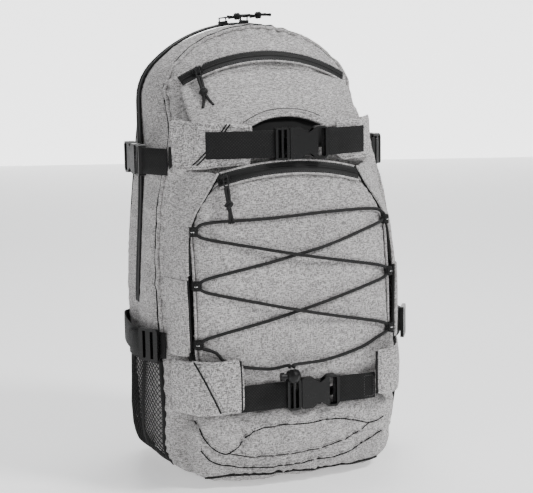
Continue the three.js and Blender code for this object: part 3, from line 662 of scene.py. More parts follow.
def finder(points):
    """A tree that finds the nearest of the points."""
    find = KDTree(len(points))
    for i, p in enumerate(points):
        find.insert(p, i)
    find.balance()
    return find


def folds(co, scale, seed, stretch):
    """Smooth seeded noise at each point, from about -1 to 1."""
    p = co * np.array(stretch) * scale + seed * 7.31
    return np.array([noise.noise(Vector(v)) for v in p])


def wrinkled(obj, *layers):
    """Moves the surface by layers of (millimetres, features per metre, seed[, stretch, where])."""
    co, n = coords(obj), normals(obj)
    move = np.zeros(len(co))
    for amount, scale, seed, *more in layers:
        stretch, where = more or ((1, 1, 1), None)
        f = folds(co, scale, seed, stretch)
        ridge = 1 - 2 * np.abs(f) ** .8
        move += amount * (ridge if where is None else ridge * where(co / MM))
    set_coords(obj, co + n * (move * MM)[:, None])
    return obj


def grooved(obj, lines, width, depth, pucker=0.0, pitch=9.0):
    """Sinks the fabric along seam lines, and gathers it in small puckers beside them."""
    step = 1.5
    counts = [max(2, int(len_of(line) / step)) for line in lines]
    find = finder(np.vstack([spaced(np.asarray(line, float), count) for line, count in zip(lines, counts)]))
    run = np.concatenate([np.arange(count) * step for count in counts])
    co, n = coords(obj), normals(obj)
    move = np.zeros(len(co))
    reach = max(width * 3, 22 if pucker else 0)
    for i, p in enumerate(co / MM):
        _, k, d = find.find(p)
        if d < reach:
            move[i] -= depth * math.exp(-(d / width) ** 2)
            if pucker:
                wave = math.sin(2 * math.pi * (run[k] / pitch + 1.3 * noise.noise(Vector((run[k] * .03, 3.1,
                                                                                          0)))))
                strength = .5 + noise.noise(Vector((run[k] * .02, 9.7, 1.3)))
                move[i] += pucker * strength * wave * math.exp(-((d - 6) / 7) ** 2)
    set_coords(obj, co + n * (move * MM)[:, None])
    return obj


# ------------------------------------------------------------------ camera, light and floor
def make_camera():
    azimuth, elevation, roll = math.radians(-20), math.radians(9), math.radians(-1)
    back = Vector((math.sin(azimuth) * math.cos(elevation), -math.cos(azimuth) * math.cos(elevation),
                   math.sin(elevation)))
    target = Vector((0, -.02, .25))
    data = bpy.data.cameras.new("camera")
    camera = bpy.data.objects.new("camera", data)
    bpy.context.scene.collection.objects.link(camera)
    focal, width, centre = 1412, 533, 268
    data.sensor_width = 36
    data.lens = focal * data.sensor_width / width
    data.shift_x = (width / 2 - centre) / width
    camera.location = target + back * 1.6
    camera.rotation_euler = (back.to_track_quat("Z", "Y") @ Matrix.Rotation(roll, 3,
                                                                            "Z").to_quaternion()).to_euler()
    bpy.context.scene.camera = camera


def make_light():
    world = bpy.data.worlds.new("studio")
    bpy.context.scene.world = world
    world.use_nodes = True
    world.node_tree.nodes["Background"].inputs[0].default_value = (.95, .97, 1, 1)
    world.node_tree.nodes["Background"].inputs[1].default_value = .36
    for name, place, size, power in [("key", (1.2, -1.2, 1.9), .45, 44), ("side", (-2.2, -1.3, .9), 1.0, 17),
                                     ("fill", (.4, -2.3, .4), 1.4, 5), ("top", (.2, .5, 2.2), 1.0, 30)]:
        data = bpy.data.lights.new(name, "AREA")
        data.size = size
        data.energy = power
        light = bpy.data.objects.new(name, data)
        light.location = place
        light.rotation_euler = (Vector(place) - Vector((0, 0, .25))).to_track_quat("Z", "Y").to_euler()
        bpy.context.scene.collection.objects.link(light)
    bpy.ops.mesh.primitive_plane_add(size=14, location=(0, 0, 0))
    floor = bpy.context.object
    floor.name = "floor"
    net = Net("floor", Roughness=.9, Specular_IOR_Level=.1)
    net.to("Base Color", net.ramp(net.noise(net.where((3, 3, 3))), (.3, .93), (.7, .95)))
    net.glow(.45)
    floor.data.materials.append(net.material)
    bpy.ops.mesh.primitive_plane_add(size=3.8, location=(1.3, 3.3, 1.0),
                                     rotation=(math.radians(90), 0, math.radians(-20)))
    backdrop = bpy.context.object
    backdrop.name = "backdrop"
    bright = Net("backdrop", Roughness=1.0)
    bright.glow(2.3)
    backdrop.data.materials.append(bright.material)


make_camera()
make_light()


# ------------------------------------------------------------------ body
OUTLINE = body_outline(176)


def body_ring(part, y, tapered=1.0, grow=0.0):
    """A ring of the body: the outline drawn in to a part of its size, at y(z, part) or at one y."""
    x, z0 = OUTLINE.T
    spine = spine_of(z0)
    share = part + grow / np.hypot(x, z0 - spine)
    z = spine + (z0 - spine) * share
    depth = y(z, part) if callable(y) else np.full(len(z), float(y))
    return np.stack([x * share * (1 + (taper(z0) - 1) * tapered), depth, z], 1)


def seam_depth(z, part):
    return seam_y(z)


def face_y(z, part):
    """How deep the body's front face is, swelling forward from its seam."""
    return seam_y(z) - swell(z) * np.sqrt(np.maximum(0, 1 - part ** 2.4))


def body_rings():
    """Rings from the middle of the back, round the gusset, to the middle of the front."""
    rings = [body_ring(p, BACK_Y - 1, 0) for p in (.3, .7, .9)]
    rings += [body_ring(.95, BACK_Y - .5, 0), body_ring(.975, BACK_Y - 3, 0), body_ring(.99, 71, 0)]
    for t in np.linspace(0, .93, 12):
        gusset = lambda z, part, t=t: GUSSET_BACK + (seam_y(z) - GUSSET_BACK) * t
        rings.append(body_ring(1 + .004 * math.sin(math.pi * t), gusset, min(1, max(0, t * 1.15 - .1))))
    rings.append(body_ring(SEAM_PART, seam_depth))
    rings += [body_ring(p, face_y) for p in (.965, .94, .9, .84, .76, .66, .54, .4, .25, .1, .02)]
    return rings


FRONT_SEAM = looped(body_ring(SEAM_PART, seam_depth))
BACK_SEAM = looped(body_ring(SEAM_PART, 75, 0))


def near(lines, points, reach):
    """How near each point is to the lines: 1 on them, 0 from reach on."""
    find = finder(np.vstack([np.asarray(line, float) for line in lines]))
    return np.array([max(0.0, 1 - find.find(p)[2] / reach) for p in points])


def main_zip_line():
    return np.array([(x, float(zip_y(z)), z) for x, z in OUTLINE if z > 180])


def above_ground(obj, lowest):
    """Lifts what hangs below a height in metres up to it."""
    co = coords(obj)
    co[:, 2] = np.maximum(co[:, 2], lowest)
    set_coords(obj, co)


def make_body():
    """The swollen, folded fabric shell, held still along its seams and the main zip."""
    body = placed(lofted("body", body_rings(), SHELL), "shell_fabric", "main_shell")
    remeshed(body, 5.0)
    relaxed(body, 4)
    main_zip = [main_zip_line()]
    points = coords(body) / MM
    x, y, z = points.T
    at_seams = (near([FRONT_SEAM, BACK_SEAM], points, 14) > .35) | (y > 70)
    behind_pockets = (z < 10) | ((y < -60) & (z < 330)) | ((z < 165) & (np.abs(x) > 100))
    at_zip = (near(main_zip, points, 16) > .2) | (z > 476)
    inflated(body, np.where(at_seams | behind_pockets | at_zip, 1, 0), 6, pressure=2.0, grow=.035,
             bending=.35)
    subdivided(body)

    def side(p):
        """Where folds may show: not on the back, and faintly by the zip, low at the sides and on top."""
        still = 1 - np.minimum(1, 1.6 * near(main_zip, p, 26))
        low = np.where((p[:, 2] < 150) & (np.abs(p[:, 0]) > 100), .25, 1)
        return np.clip((70 - p[:, 1]) / 30, 0, 1) * still * low * np.where(p[:, 2] > 484, .35, 1)

    def shoulders(p):
        return side(p) * (p[:, 2] > 300) * (p[:, 1] > seam_y(p[:, 2]) + 5)

    wrinkled(body, (2.2, 14, 1, (1, 1, .7), side), (1.2, 38, 2, (1, 1, .8), side), (.35, 95, 3),
             (1.5, 30, 5, (1, .6, 1), shoulders))
    grooved(body, [FRONT_SEAM], 2.6, 2.4, pucker=1.7, pitch=15)
    grooved(body, [BACK_SEAM], 2.0, 1.2, pucker=.5)
    above_ground(body, .0036)
    return body


BODY = make_body()
BODY_TREE = tree_of(BODY)


def make_body_piping():
    """Piping in the seam between the side gusset and the front, with its shadow line."""
    for name, radius, lift, material, grow, slot in (
            ("front_piping", 2.4, 1.4, SHELL, 0, "shell_fabric"),
            ("front_piping_shadow", 1.1, .7, BLACK, 4.2, "base_fabric")):
        ring = body_ring(SEAM_PART, lambda z, part, grow=grow: seam_y(z) + grow * .8, grow=grow * .4)
        start = int(np.argmin(ring[:, 2] + 1000 * (ring[:, 0] > 0)))
        ring = np.roll(ring, -start, axis=0)
        line = []
        for p in ring[ring[:, 2] > 150]:
            hit, normal, _, _ = BODY_TREE.find_nearest(Vector(p * MM))
            line.append(np.array(hit) / MM + np.array(normal) * lift)
        placed(tube(name, line, radius, material, count=260, sides=8), slot)


make_body_piping()


def on_body_front(x, z):
    """The depth of the body's front at (x, z)."""
    found = cast(BODY_TREE, (x, IN_FRONT, z), (0, 1, 0))
    return found[0][1] if found else 0.0


def make_base():
    """The black underside, a boxed panel with a bound edge."""
    corners = ((72, -34, -90), (72, 42, 0), (-72, 42, 90), (-72, -34, 180))
    ring = np.vstack([arc((x, y), 26, math.radians(a), math.radians(a + 90), 10) for x, y, a in corners])
    flat = lambda z, part: np.column_stack([ring * part, np.full(len(ring), z)])
    base = lofted("base_cloth", [flat(z, part) for z, part in (
        (0, .05), (0, .5), (0, .985), (.4, .99), (1.4, 1.0), (3.2, 1.0), (3.5, .99), (3.5, .5), (3.5, .05))],
                  BLACK)
    placed(base, "base_fabric", "base_panel")
    path = looped(flat(.35, SEAM_PART))
    placed(stitches("base_stitches", path, (0, 0, -1), DARK_THREAD, lift=-.1), "base_fabric")


make_base()


# ------------------------------------------------------------------ pockets
def pocket_outline(size, count=112):
    """The rounded rectangle of a pocket, with its arched top, as a ring of (x, z)."""
    half, corner = size["half"], size["corner"]
    mid, tall = (size["low"] + size["high"]) / 2, (size["high"] - size["low"]) / 2
    x, z = half - corner, tall - corner
    right = np.vstack([[(0, -tall)], arc((x, -z), corner, -math.pi / 2, 0, 20),
                       arc((x, z), corner, 0, math.pi / 2, 20), [(0, tall)]])
    right = spaced(right, count // 2 + 1)
    ring = np.vstack([right, right[-2:0:-1] * (-1, 1)])
    raised = np.maximum(0, ring[:, 1] / tall) * size["arch"] * (1 - (ring[:, 0] / half) ** 2)
    return np.column_stack([ring[:, 0], ring[:, 1] + mid + raised])


def pocket_ring(size, outline, part, y):
    """A pocket's outline drawn in to a part of its size, at y(x, z, part) or at one y."""
    mid = (size["low"] + size["high"]) / 2
    spine = np.clip(outline[:, 1], mid + .45 * (size["low"] - mid), mid + .45 * (size["high"] - mid))
    z = spine + (outline[:, 1] - spine) * part
    x = outline[:, 0] * part
    return np.column_stack([x, y(x, z, part) if callable(y) else np.full(len(x), y), z])


def pocket_form(name, size, edge):
    """A pocket's swollen box: its walls rise from the body, and its face bellies out past the seam."""
    outline = pocket_outline(size)
    face = lambda x, z, part: edge(x, z) - size["swollen"] * np.sqrt(np.maximum(0, 1 - min(1, part) ** 3))
    rings = [pocket_ring(size, outline, part, POCKET_BACK) for part in (.4, .8, .985)]
    for t in (.2, .4, .6, .8, .95):
        wall = lambda x, z, part, t=t: POCKET_BACK + (edge(x, z) + 1 - POCKET_BACK) * t
        rings.append(pocket_ring(size, outline, 1, wall))
    rings += [pocket_ring(size, outline, p, face) for p in (.99, .97, .93, .86, .76, .64, .5, .34, .18, .04)]
    return lofted(name, rings, SHELL)


def seam_of(size, edge, part=.995, lift=0.0):
    return looped(pocket_ring(size, pocket_outline(size), part, lambda x, z, part: edge(x, z) - lift))


def front_rim(x, z):
    """The depth of the front pocket's seam."""
    return front_edge(z) - FRONT_BELLY * belly(x, FRONT["half"])


def lower_rim(x, z):
    """The depth of the lower pocket's seam."""
    return lower_edge(z) - LOWER_BELLY * belly(x, LOWER["half"])


def front_face(x, z):
    """The depth of the front pocket's face."""
    x = np.asarray(x, float)
    part = np.minimum(1, np.abs(x) / FRONT["half"])
    return front_rim(x, z) - FRONT["swollen"] * np.sqrt(np.maximum(0, 1 - part ** 3))


def dark_walls(obj, edge, reach):
    """Gives a pocket's side walls black cloth: the faces behind its seam."""
    obj.data.materials.append(BLACK)
    co = coords(obj) / MM
    for face in obj.data.polygons:
        p = co[list(face.vertices)].mean(0)
        if p[1] > edge(p[0], p[2]) + reach:
            face.material_index = 1


def seam_shade_line(name, surface, path, radius, sink=-.15):
    """A black tube along (x, z) points on a surface seen from the front: painted shade along a seam or a panel's
    edge.
    """
    points, ns = on_front(surface, path)
    if len(points) > 4:
        line = np.vstack([points[::2], points[-1:]]) - np.vstack([ns[::2], ns[-1:]]) * sink
        placed(tube(name, line, radius, BLACK, count=max(30, len(path)), sides=8), "base_fabric")


def behind_cord(pocket):
    """Keeps the pocket's face just behind the laced cord."""
    co = coords(pocket)
    p = co / MM
    free, most = .4, .7
    proud = front_face(p[:, 0], p[:, 2]) - p[:, 1]
    limit = free + most * np.tanh((proud - free) / most)
    co[:, 1] += np.where((proud > free) & (p[:, 1] < -70), proud - limit, 0) * MM
    set_coords(pocket, co)


def forward(p):
    """1 on a pocket's face, fading to 0 on its walls."""
    return np.clip((-66 - p[:, 1]) / 14, 0, 1)


def make_front_pocket():
    pocket = placed(pocket_form("front_pocket_cloth", FRONT, front_rim), "shell_fabric", "front_pocket")
    remeshed(pocket, 4.5)
    relaxed(pocket, 3)
    co = coords(pocket) / MM
    seam_shade = seam_of(FRONT, front_rim)
    held = np.where((near([seam_shade], co, 10) > .4) | (co[:, 1] > -62), 1, 0)
    inflated(pocket, held, 4, pressure=3.0, grow=.02, bending=.4)
    subdivided(pocket)
    low = lambda p: forward(p) * np.clip((210 - p[:, 2]) / 60, .25, 1)
    wrinkled(pocket, (2.6, 14, 21, (1.5, 1, .6), low), (1.5, 36, 22, (1.2, 1, .7), low), (.35, 95, 23))
    panels = [np.array([[x, front_face(x, z), z] for z in np.linspace(128, 190, 20)]) for x in (-92, 92)]
    grooved(pocket, [seam_shade, *panels], 2.2, 1.5, pucker=.9, pitch=11)
    behind_cord(pocket)
    dark_walls(pocket, front_rim, 3)
    piping = tube("front_pocket_piping", seam_of(FRONT, front_rim, 1.0, .3)[::3], 1.5, SHELL, count=260)


def make_lower_pocket():
    pocket = placed(pocket_form("lower_pocket_cloth", LOWER, lower_rim), "shell_fabric", "lower_pocket")
    remeshed(pocket, 4.0)
    relaxed(pocket, 3)
    co = coords(pocket) / MM
    held = np.where((near([seam_of(LOWER, lower_rim)], co, 8) > .4) | (co[:, 1] > -62) | (co[:, 2] < 9), 1, 0)
    inflated(pocket, held, 4, pressure=3.0, grow=.03, bending=.3)
    subdivided(pocket)
    pocket_tree = tree_of(pocket)
    lines = {}
    for name, count, path in (
            ("flap", 90, [(-110, 76), (-107, 62), (-96, 47), (-80, 41), (-62, 60), (-44, 69), (0, 70),
                          (40, 70),
                          (66, 64), (88, 57), (104, 62)]),
            ("rise", 60, [(-80, 41), (-57, 37), (0, 36), (50, 42), (88, 58)]),
            ("foot", 70, [(-108, 44), (-94, 30), (-56, 23), (0, 24), (62, 29), (104, 44)])):
        lines[name], _ = on_front(pocket_tree, spline(path, count))
    wrinkled(pocket, (3.2, 15, 31, (1.1, 1, 1.4), forward), (2.3, 36, 32, (.8, 1, 1.1), forward),
             (.4, 95, 33))
    grooved(pocket, list(lines.values()), 2.4, 2.6, pucker=1.4, pitch=13)
    pocket_tree = tree_of(pocket)
    # Black tubes along the seams are painted shade in their creases.
    for name, line in lines.items():
        seam_shade_line(f"lower_{name}_seam", pocket_tree, [(x, z) for x, _, z in line],
                  .6 if name == "rise" else .75)
        points, ns = on_front(pocket_tree, [(x, z + 3.0) for x, _, z in line])
        placed(stitches(f"lower_{name}_stitches", points, ns, DARK_THREAD, length=2.2, radius=.25),
               "shell_fabric")
    # The black tube along the hem is painted shade.
    hem = spline([(-104, 13), (-67, 15), (0, 13.5), (66, 11.5), (100, 12)], 80)
    seam_shade_line("lower_hem_shade_line", pocket_tree, hem, 1.6, 0)
    above_ground(pocket, .006)


make_front_pocket()
make_lower_pocket()


def sheet_between(name, low, high, material, thick=2.4, rows=12, sag=0.0, cad=None, slot="shell_fabric",
                  bevel=.9, face=None):
    """A fabric panel between two rows of points, with thickness and soft edges, laid on face(x) if given."""
    low, high = np.asarray(low, float), np.asarray(high, float)
    out = unit(np.cross(directions(low), unit(high - low)))
    out = np.where(out[:, 1:2] > 0, -out, out)
    t = np.linspace(0, 1, rows)[:, None, None]
    mid = low * (1 - t) + high * t
    if face:
        mid[:, :, 1] = face(np.abs(mid[:, :, 0]))
    mid = mid + out * (sag * np.sin(math.pi * t))
    crown = np.sin(np.linspace(0, math.pi, rows))[:, None] ** .3
    rings = []
    for k in range(len(low)):
        front = mid[:, k] + out[k] * thick / 2 - out[k] * (1 - crown) * bevel
        back = mid[:, k] - out[k] * thick / 2 + out[k] * (1 - crown) * bevel * .3
        rings.append(np.vstack([front, back[::-1]]))
    return placed(lofted(name, rings, material), slot, cad)


def on_side(z):
    """Half the body's width at the front seam."""
    right = OUTLINE[(OUTLINE[:, 0] > 60) & (OUTLINE[:, 1] < 420) & (OUTLINE[:, 1] > 30)]
    order = np.argsort(right[:, 1])
    return float(np.interp(z, right[order, 1], right[order, 0])) * SEAM_PART * float(taper(z))


def make_side_flaps():
    """The body's side panels end in a hem that laps over the front pocket's sides and the cord's loops."""
    hems = {"upper": [(80, 344), (92, 324), (107, 301), (115.5, 281), (118.5, 255), (119, 229)],
            "lower": [(122, 233), (121.5, 205), (121, 180), (120, 150)]}
    for part, hem in hems.items():
        for s, side in SIDES:
            inner, outer = [], []
            for x, z in spline([(s * x, z) for x, z in hem], 44):
                deep = front_face(np.clip(x, -110, 110), z)
                inner.append((x, max(deep + 3, -97) - 2 * (z < 300), z))
                outer.append((s * (on_side(z) - 5), seam_y(z) - 1.5, z))
            flap = sheet_between(f"side_flap_{part}_{side}", outer, inner, SHELL, thick=2.2, rows=14, sag=3)
            subdivided(flap)
            wrinkled(flap, (1.1, 22, 41 + s, (1, 1, .6), None), (.25, 70, 43))
            line = np.array(inner) + (0, -.9, 0)
            placed(tube(f"side_hem_{part}_{side}", line[::4], 1.5, SHELL, count=90), "shell_fabric")
            # A black tube tucked under the hem darkens the gap between flap and pocket.
            under = line[::4] + (-s * 2.3, 1.3, 0)
            placed(tube(f"side_hem_dark_gap_{part}_{side}", under, 1.7, BLACK, count=90), "base_fabric")





make_side_flaps()


def make_upper_flap():
    """The upper pocket: a panel below the upper zip, whose bound hem arches over a dark recess."""
    xs = np.linspace(-97, 97, 60)
    arch = lambda x: 387 + 13 * np.clip(1 - (x / 46) ** 2, 0, 1) ** .8
    top = lambda x: 434 + 15 * (1 - (x / 98) ** 2)
    low = [(x, on_body_front(x, arch(x)) - 7.0 - 2 * (abs(x) < 46), arch(x)) for x in xs]
    high = [(x, on_body_front(x, top(x)) - 2.5, top(x)) for x in xs]
    flap = sheet_between("upper_panel", low, high, SHELL, thick=3.0, rows=18, sag=1.5, cad="upper_pocket")
    subdivided(flap)
    wrinkled(flap, (.7, 18, 51), (.3, 45, 52), (.15, 90, 53))
    line = np.array(low)[np.abs(xs) < 50] + (0, -1.2, 3.6)
    facing = (0, -.8, .6)
    placed(strap("upper_hem", line[::3], 8.5, WING, out=facing, thick=2.6, count=70), "shell_fabric")
    # Black tubes below and above the hem are painted shade: its shadow over the recess, and the crease of its
    # seam.
    placed(tube("upper_hem_shadow_line", line[::3] + (0, -.2, -4.6), .9, BLACK, count=70), "base_fabric")
    placed(tube("upper_hem_seam_shade", line[::3] + (0, -.9, 5.4), .4, BLACK, count=70), "base_fabric")
    placed(stitches("upper_hem_stitches", line + (0, -1.5, 2.9), facing, PALE_THREAD, radius=.3),
           "shell_fabric")
    # A black sheet fills the recess under the hem as painted shade.
    xs = np.linspace(-44, 52, 30)
    low = [(x, on_body_front(x, 366) - 3.0, 366) for x in xs]
    high = [(x, on_body_front(x, arch(x) + 3) - 3.0, arch(x) + 3) for x in xs]
    sheet_between("recess_shade_sheet", low, high, BLACK, thick=2, rows=10, sag=4, slot="base_fabric")
    # A narrow tape loop for tools hangs in the recess, behind the buckle.
    for i, x in enumerate((-17, -5)):
        points = [(x + 5, -66, 398), (x + 3, -74, 392), (x + 1, -88, 374), (x + 4, -90, 354),
                  (x + 12, -88, 348)]
        placed(strap(f"tool_loop_{i}", points, 4.5, WEB, thick=1.3), "webbing")
    loop = [(-8, -87, 352), (-2, -91, 346.5), (6, -92, 345.5), (12, -90, 349), (16, -88, 356)]
    placed(tube("tool_loop_end", loop, 1.1, BRAID, count=30), "elastic")


make_upper_flap()


# ------------------------------------------------------------------ zips
def arc_zip(half_chord, end, apex, facing):
    """A zip's arc through its apex (y, z), whose ends are at half_chord either side of end (y, z)."""
    rise = math.hypot(apex[0] - end[0], apex[1] - end[1])
    radius = (half_chord ** 2 + rise ** 2) / (2 * rise)
    tilt = math.atan2(end[0] - apex[0], apex[1] - end[1])
    centre = np.array([0, apex[0] + radius * math.sin(tilt), apex[1] - radius * math.cos(tilt)])
    return dict(radius=radius, tilt=tilt, centre=centre, half=math.asin(half_chord / radius),
                lean=facing + tilt)


def zip_path(z, count=70):
    """Points along a zip's arc, and the direction its face looks."""
    a = np.linspace(-z["half"], z["half"], count)
    c, s = math.cos(z["tilt"]), math.sin(z["tilt"])
    turn = np.array([[1, 0, 0], [0, c, -s], [0, s, c]])
    radial = np.column_stack([np.sin(a), np.zeros(count), np.cos(a)])
    cl, sl = math.cos(z["lean"]), math.sin(z["lean"])
    out = np.column_stack([np.sin(a) * sl, np.full(count, -cl), np.cos(a) * sl])
    return z["centre"] + (radial * z["radius"]) @ turn.T, out @ turn.T


def zip_pieces(name, points, out, lips=True):
    """Tape in two halves with a covered coil between, and fabric lips along both sides."""
    w = ZIP_WIDTH / 2
    section = [(w, .9), (w - .6, 1.2), (1.6, 1.25), (1.1, .8), (.45, 1.7), (-.45, 1.7), (-1.1, .8),
               (-1.6, 1.25),
               (-w + .6, 1.2), (-w, .9), (-w, -.9), (w, -.9)]
    placed(swept(f"{name}_tape", points, out, section, TAPE), "zip_tape", f"{name}_track")
    line = spaced(points, int(len_of(points) / 1.5))
    facing = spaced(np.asarray(out), len(line))
    coil = stitches(f"{name}_coil", line, facing, TAPE, length=1.0, gap=.45, radius=.8, lift=1.4)
    if not lips:
        return
    across = unit(np.cross(directions(points), out))
    for part, s in (("upper", 1), ("lower", -1)):
        line = points + across * s * (w + .6) + out * .7
        placed(tube(f"{name}_lip_{part}", line[::3], 1.25, SHELL, count=90), "shell_fabric")
    for part, s in (("upper", 1), ("lower", -1)):
        line = points + across * s * (w - 1.8) + out * 1.3
        row = stitches(f"{name}_stitches_{part}", line, out, DARK_THREAD, length=1.8, gap=.9, radius=.25)


UPPER_ZIP = arc_zip(96, (-13, 438), (-20, 464), .7)
FRONT_ZIP = arc_zip(81, (-89.5, 335), (-96, 347), .45)


def make_zips():
    zip_pieces("upper_zip", *zip_path(UPPER_ZIP))
    zip_pieces("front_zip", *zip_path(FRONT_ZIP))
    points, outs = [], []
    for i, (x, z) in enumerate(OUTLINE):
        if z > MAIN_ZIP_FOOT:
            along = OUTLINE[(i + 1) % len(OUTLINE)] - OUTLINE[i - 1]
            out = np.array([along[1], 0, -along[0]]) / np.linalg.norm(along)
            points.append(np.array([x, float(zip_y(z)), z]) + out * 1.6)
            outs.append(out)
    zip_pieces("main_zip", np.array(points), np.array(outs), lips=False)


make_zips()


def make_pull(name, drop, spread, hang):
    """A zip pull: a wire link, a doubled cord with a knot in it, and two tails."""
    body = f"{name}_pull"
    joint = next(j for j in frame["joints"] if j["child"] == body)
    pin = np.array(joint["pos_m"]) / MM
    hinge = unit(np.array(joint["axis"]))
    down = unit(np.array(hang))
    out = np.cross(hinge, down)
    at = lambda x, y, z: pin + hinge * x + out * y - down * z
    link = [at(2.4 * math.cos(a), 0, -4.8 - 4.6 * np.sign(math.sin(a)) - 1.9 * math.sin(a))
            for a in np.linspace(.02, 2 * math.pi - .02, 24)]
    placed(tube(f"{body}_link", link + [link[0]], .8, METAL, body, count=60, sides=8), "slider_metal")
    knot_z = -drop * .62
    for s, letter in ((-1, "a"), (1, "b")):
        points = [at(0, .9 * s, -10.2), at(s * 1.5, .5 * s, -13), at(s * 1.3, -.3, (knot_z - 13) / 2),
                  at(s * .8, 0, knot_z + 2), at(s * .4, .6, knot_z), at(s * spread * .4, .2, -drop * .8),
                  at(s * spread, -.4, -drop)]
        cord = tube(f"{body}_cord_{letter}", points, 1.65, BRAID, body, count=60)
        placed(cord, "pull_cord", body if s < 0 else None)
        tip = points[-1]
        way = unit(tip - points[-2])
        end = [tip - way * 2.2, tip + way * .3]
        placed(tube(f"{body}_tip_{letter}", end, 1.85, PLASTIC, body, count=6), "pull_cord")
    turns = []
    for a in 2 * math.pi * 2 * np.arange(49) / 48:
        r = 2.6 + .8 * math.cos(1.5 * a)
        turns.append(at(r * math.cos(a), 2.3 * math.sin(a), knot_z + 3.0 * math.sin(.75 * a)))
    placed(tube(f"{body}_knot", turns, 1.9, BRAID, body, count=120), "pull_cord")


def make_pulls():
    make_pull("main_left", 42, 4, (.4, -.9, .05))
    make_pull("main_right", 42, 4, (.36, -.92, .05))
    make_pull("upper", 50, 6, (.06, -.58, -.81))
    make_pull("front", 50, 2, (.02, -.3, -.95))


make_pulls()


# ------------------------------------------------------------------ board straps and wings
def wing_piece(name, low, high, seed):
    """A fabric wing: doubled cloth with a turned edge."""
    piece = sheet_between(f"{name}_cloth", low, high, WING, thick=2.8, rows=16, sag=.8, cad=name, bevel=1.1)
    subdivided(piece)
    wrinkled(piece, (.5, 22, seed), (.18, 85, seed + 1))
    return piece


def edge_stitches(name, surface, start, end, radius=.3):
    """A straight row of stitches from one (x, z) to another on a surface seen from the front."""
    points, ns = on_front(surface, straight(start, end))
    if len(points) > 2:
        placed(stitches(name, points, ns, DARK_THREAD, radius=radius), "shell_fabric")


def straight(a, b, count=40):
    return [tuple(np.array(a) + (np.array(b) - np.array(a)) * t) for t in np.linspace(0, 1, count)]


def make_upper_wings():
    wing_y = curve_table([(46, -89), (70, -83), (96, -74), (108, -58), (119, -44)])
    y_at = lambda x, z: min(on_body_front(x, z) - 3.5, float(wing_y(abs(x))) - 1.5)
    xs = np.linspace(-119, -41, 44)
    low_z = np.interp(xs, [-119, -80, -41], [345, 349, 351])
    high_z = np.interp(xs, [-119, -80, -41], [399, 397, 393])
    low = [(x - 3 * (x > -44), y_at(x, z), z) for x, z in zip(xs, low_z)]
    high = [(x, y_at(x, z), z) for x, z in zip(xs, high_z)]
    left = wing_piece("upper_wing_left", low, high, 61)
    xs = np.linspace(56, 106, 32)
    low = [(x, y_at(x, z), z) for x, z in zip(xs, np.interp(xs, [56, 66, 108], [358, 351, 352]))]
    high = [(x, y_at(x, z), z) for x, z in zip(xs, np.interp(xs, [56, 108], [395, 398]))]
    right = wing_piece("upper_wing_right", low, high, 64)
    trees = {"left": tree_of(left), "right": tree_of(right)}
    # Black lines along the two diagonal seams are painted seam shade.
    for i, shift in enumerate((0, 3.4)):
        fold = straight((-68 + shift, 395), (-102 + shift, 352))
        seam_shade_line(f"upper_wing_fold_{i}", trees["left"], fold, .8, -.3)
    for side, edge, start, end in (("left", "top", (-116, 395.5), (-44, 390)),
                                   ("left", "low", (-116, 348.5), (-48, 354)),
                                   ("left", "end", (-45, 390), (-48, 355)),
                                   ("right", "top", (59, 393), (105, 401)),
                                   ("right", "low", (66, 354), (105, 355))):
        edge_stitches(f"upper_wing_{side}_stitches_{edge}", trees[side], start, end)


def end_binding(name, low, high, out, middle):
    """The black binding over a wing's end, from its low to its high corner."""
    low, high = np.array(low), np.array(high)
    line = [low + (out, .6 if out > 0 else .4, 1), (low + high) / 2 + middle,
            high + (out, .6 if out > 0 else .4, -1)]
    placed(tube(name, line, 1.5, BLACK, count=40), "base_fabric")


def make_lower_wings():
    wing_y = curve_table([(68, -123.5), (84, -122.5), (100, -121), (118, -108), (133, -74)])
    at = lambda x, z, lift: (x, float(wing_y(abs(x))) - lift, z)
    xs = np.linspace(-133, -68, 48)
    low = [at(x, np.interp(x, [-133, -72, -68], [88, 91, 94]), 1.5) for x in xs]
    high = [at(x, np.interp(x, [-133, -76, -68], [146, 149, 141]), 1.5) for x in xs]
    wing_piece("lower_wing_left", low, high, 71)
    # An outer flap lies on it, cut on a slant, with a dark bound end and painted shade along its cut edge.
    foot, top = 91, 148.5
    cut = lambda z: np.interp(z, [90, 150], [-96, -122])
    inner = lambda z: np.interp(z, [91, 95, 140, 149], [-72, -67, -67, -73])
    share = np.arange(30) / 29
    low = [at(cut(foot) + (inner(foot) - cut(foot)) * t, foot, 3.7) for t in share]
    high = [at(cut(top) + (inner(top) - cut(top)) * t, top, 3.7) for t in share]
    flap = sheet_between("lower_wing_flap", low, high, WING, thick=2.2, rows=18, sag=.6,
                         face=lambda x: wing_y(x) - 3.8)
    subdivided(flap)
    wrinkled(flap, (.45, 24, 75), (.15, 85, 76))
    surface = tree_of(flap)
    # A black line along the slanted cut edge is painted shade.
    seam_shade_line("lower_wing_cut_shade", surface, straight((-95, 93), (-118.6, 147), 50), 1.0, -.5)
    end_binding("lower_wing_end_binding", low[-1], high[-1], .6, (.9, .4, 0))
    edge_stitches("lower_flap_edge_stitches", surface, (-91, 94), (-114.5, 146), .33)
    edge_stitches("lower_flap_top_stitches", surface, (-118, 146), (-73, 146))
    edge_stitches("lower_flap_foot_stitches", surface, (-94, 94), (-72, 94))
    edge_stitches("lower_flap_end_stitches", surface, (-70.5, 97), (-70.5, 140))
    xs = np.linspace(88, 133, 34)
    low = [at(x, np.interp(x, [88, 133], [94, 92]), 1.5) for x in xs]
    high = [at(x, np.interp(x, [88, 133], [143, 147]), 1.5) for x in xs]
    surface = tree_of(wing_piece("lower_wing_right", low, high, 78))
    end_binding("lower_wing_right_binding", low[0], high[0], -.6, (-.8, .3, 0))
    edge_stitches("lower_right_edge_stitches", surface, (91, 97), (91, 141))
    edge_stitches("lower_right_top_stitches", surface, (91, 141), (118, 143.5))


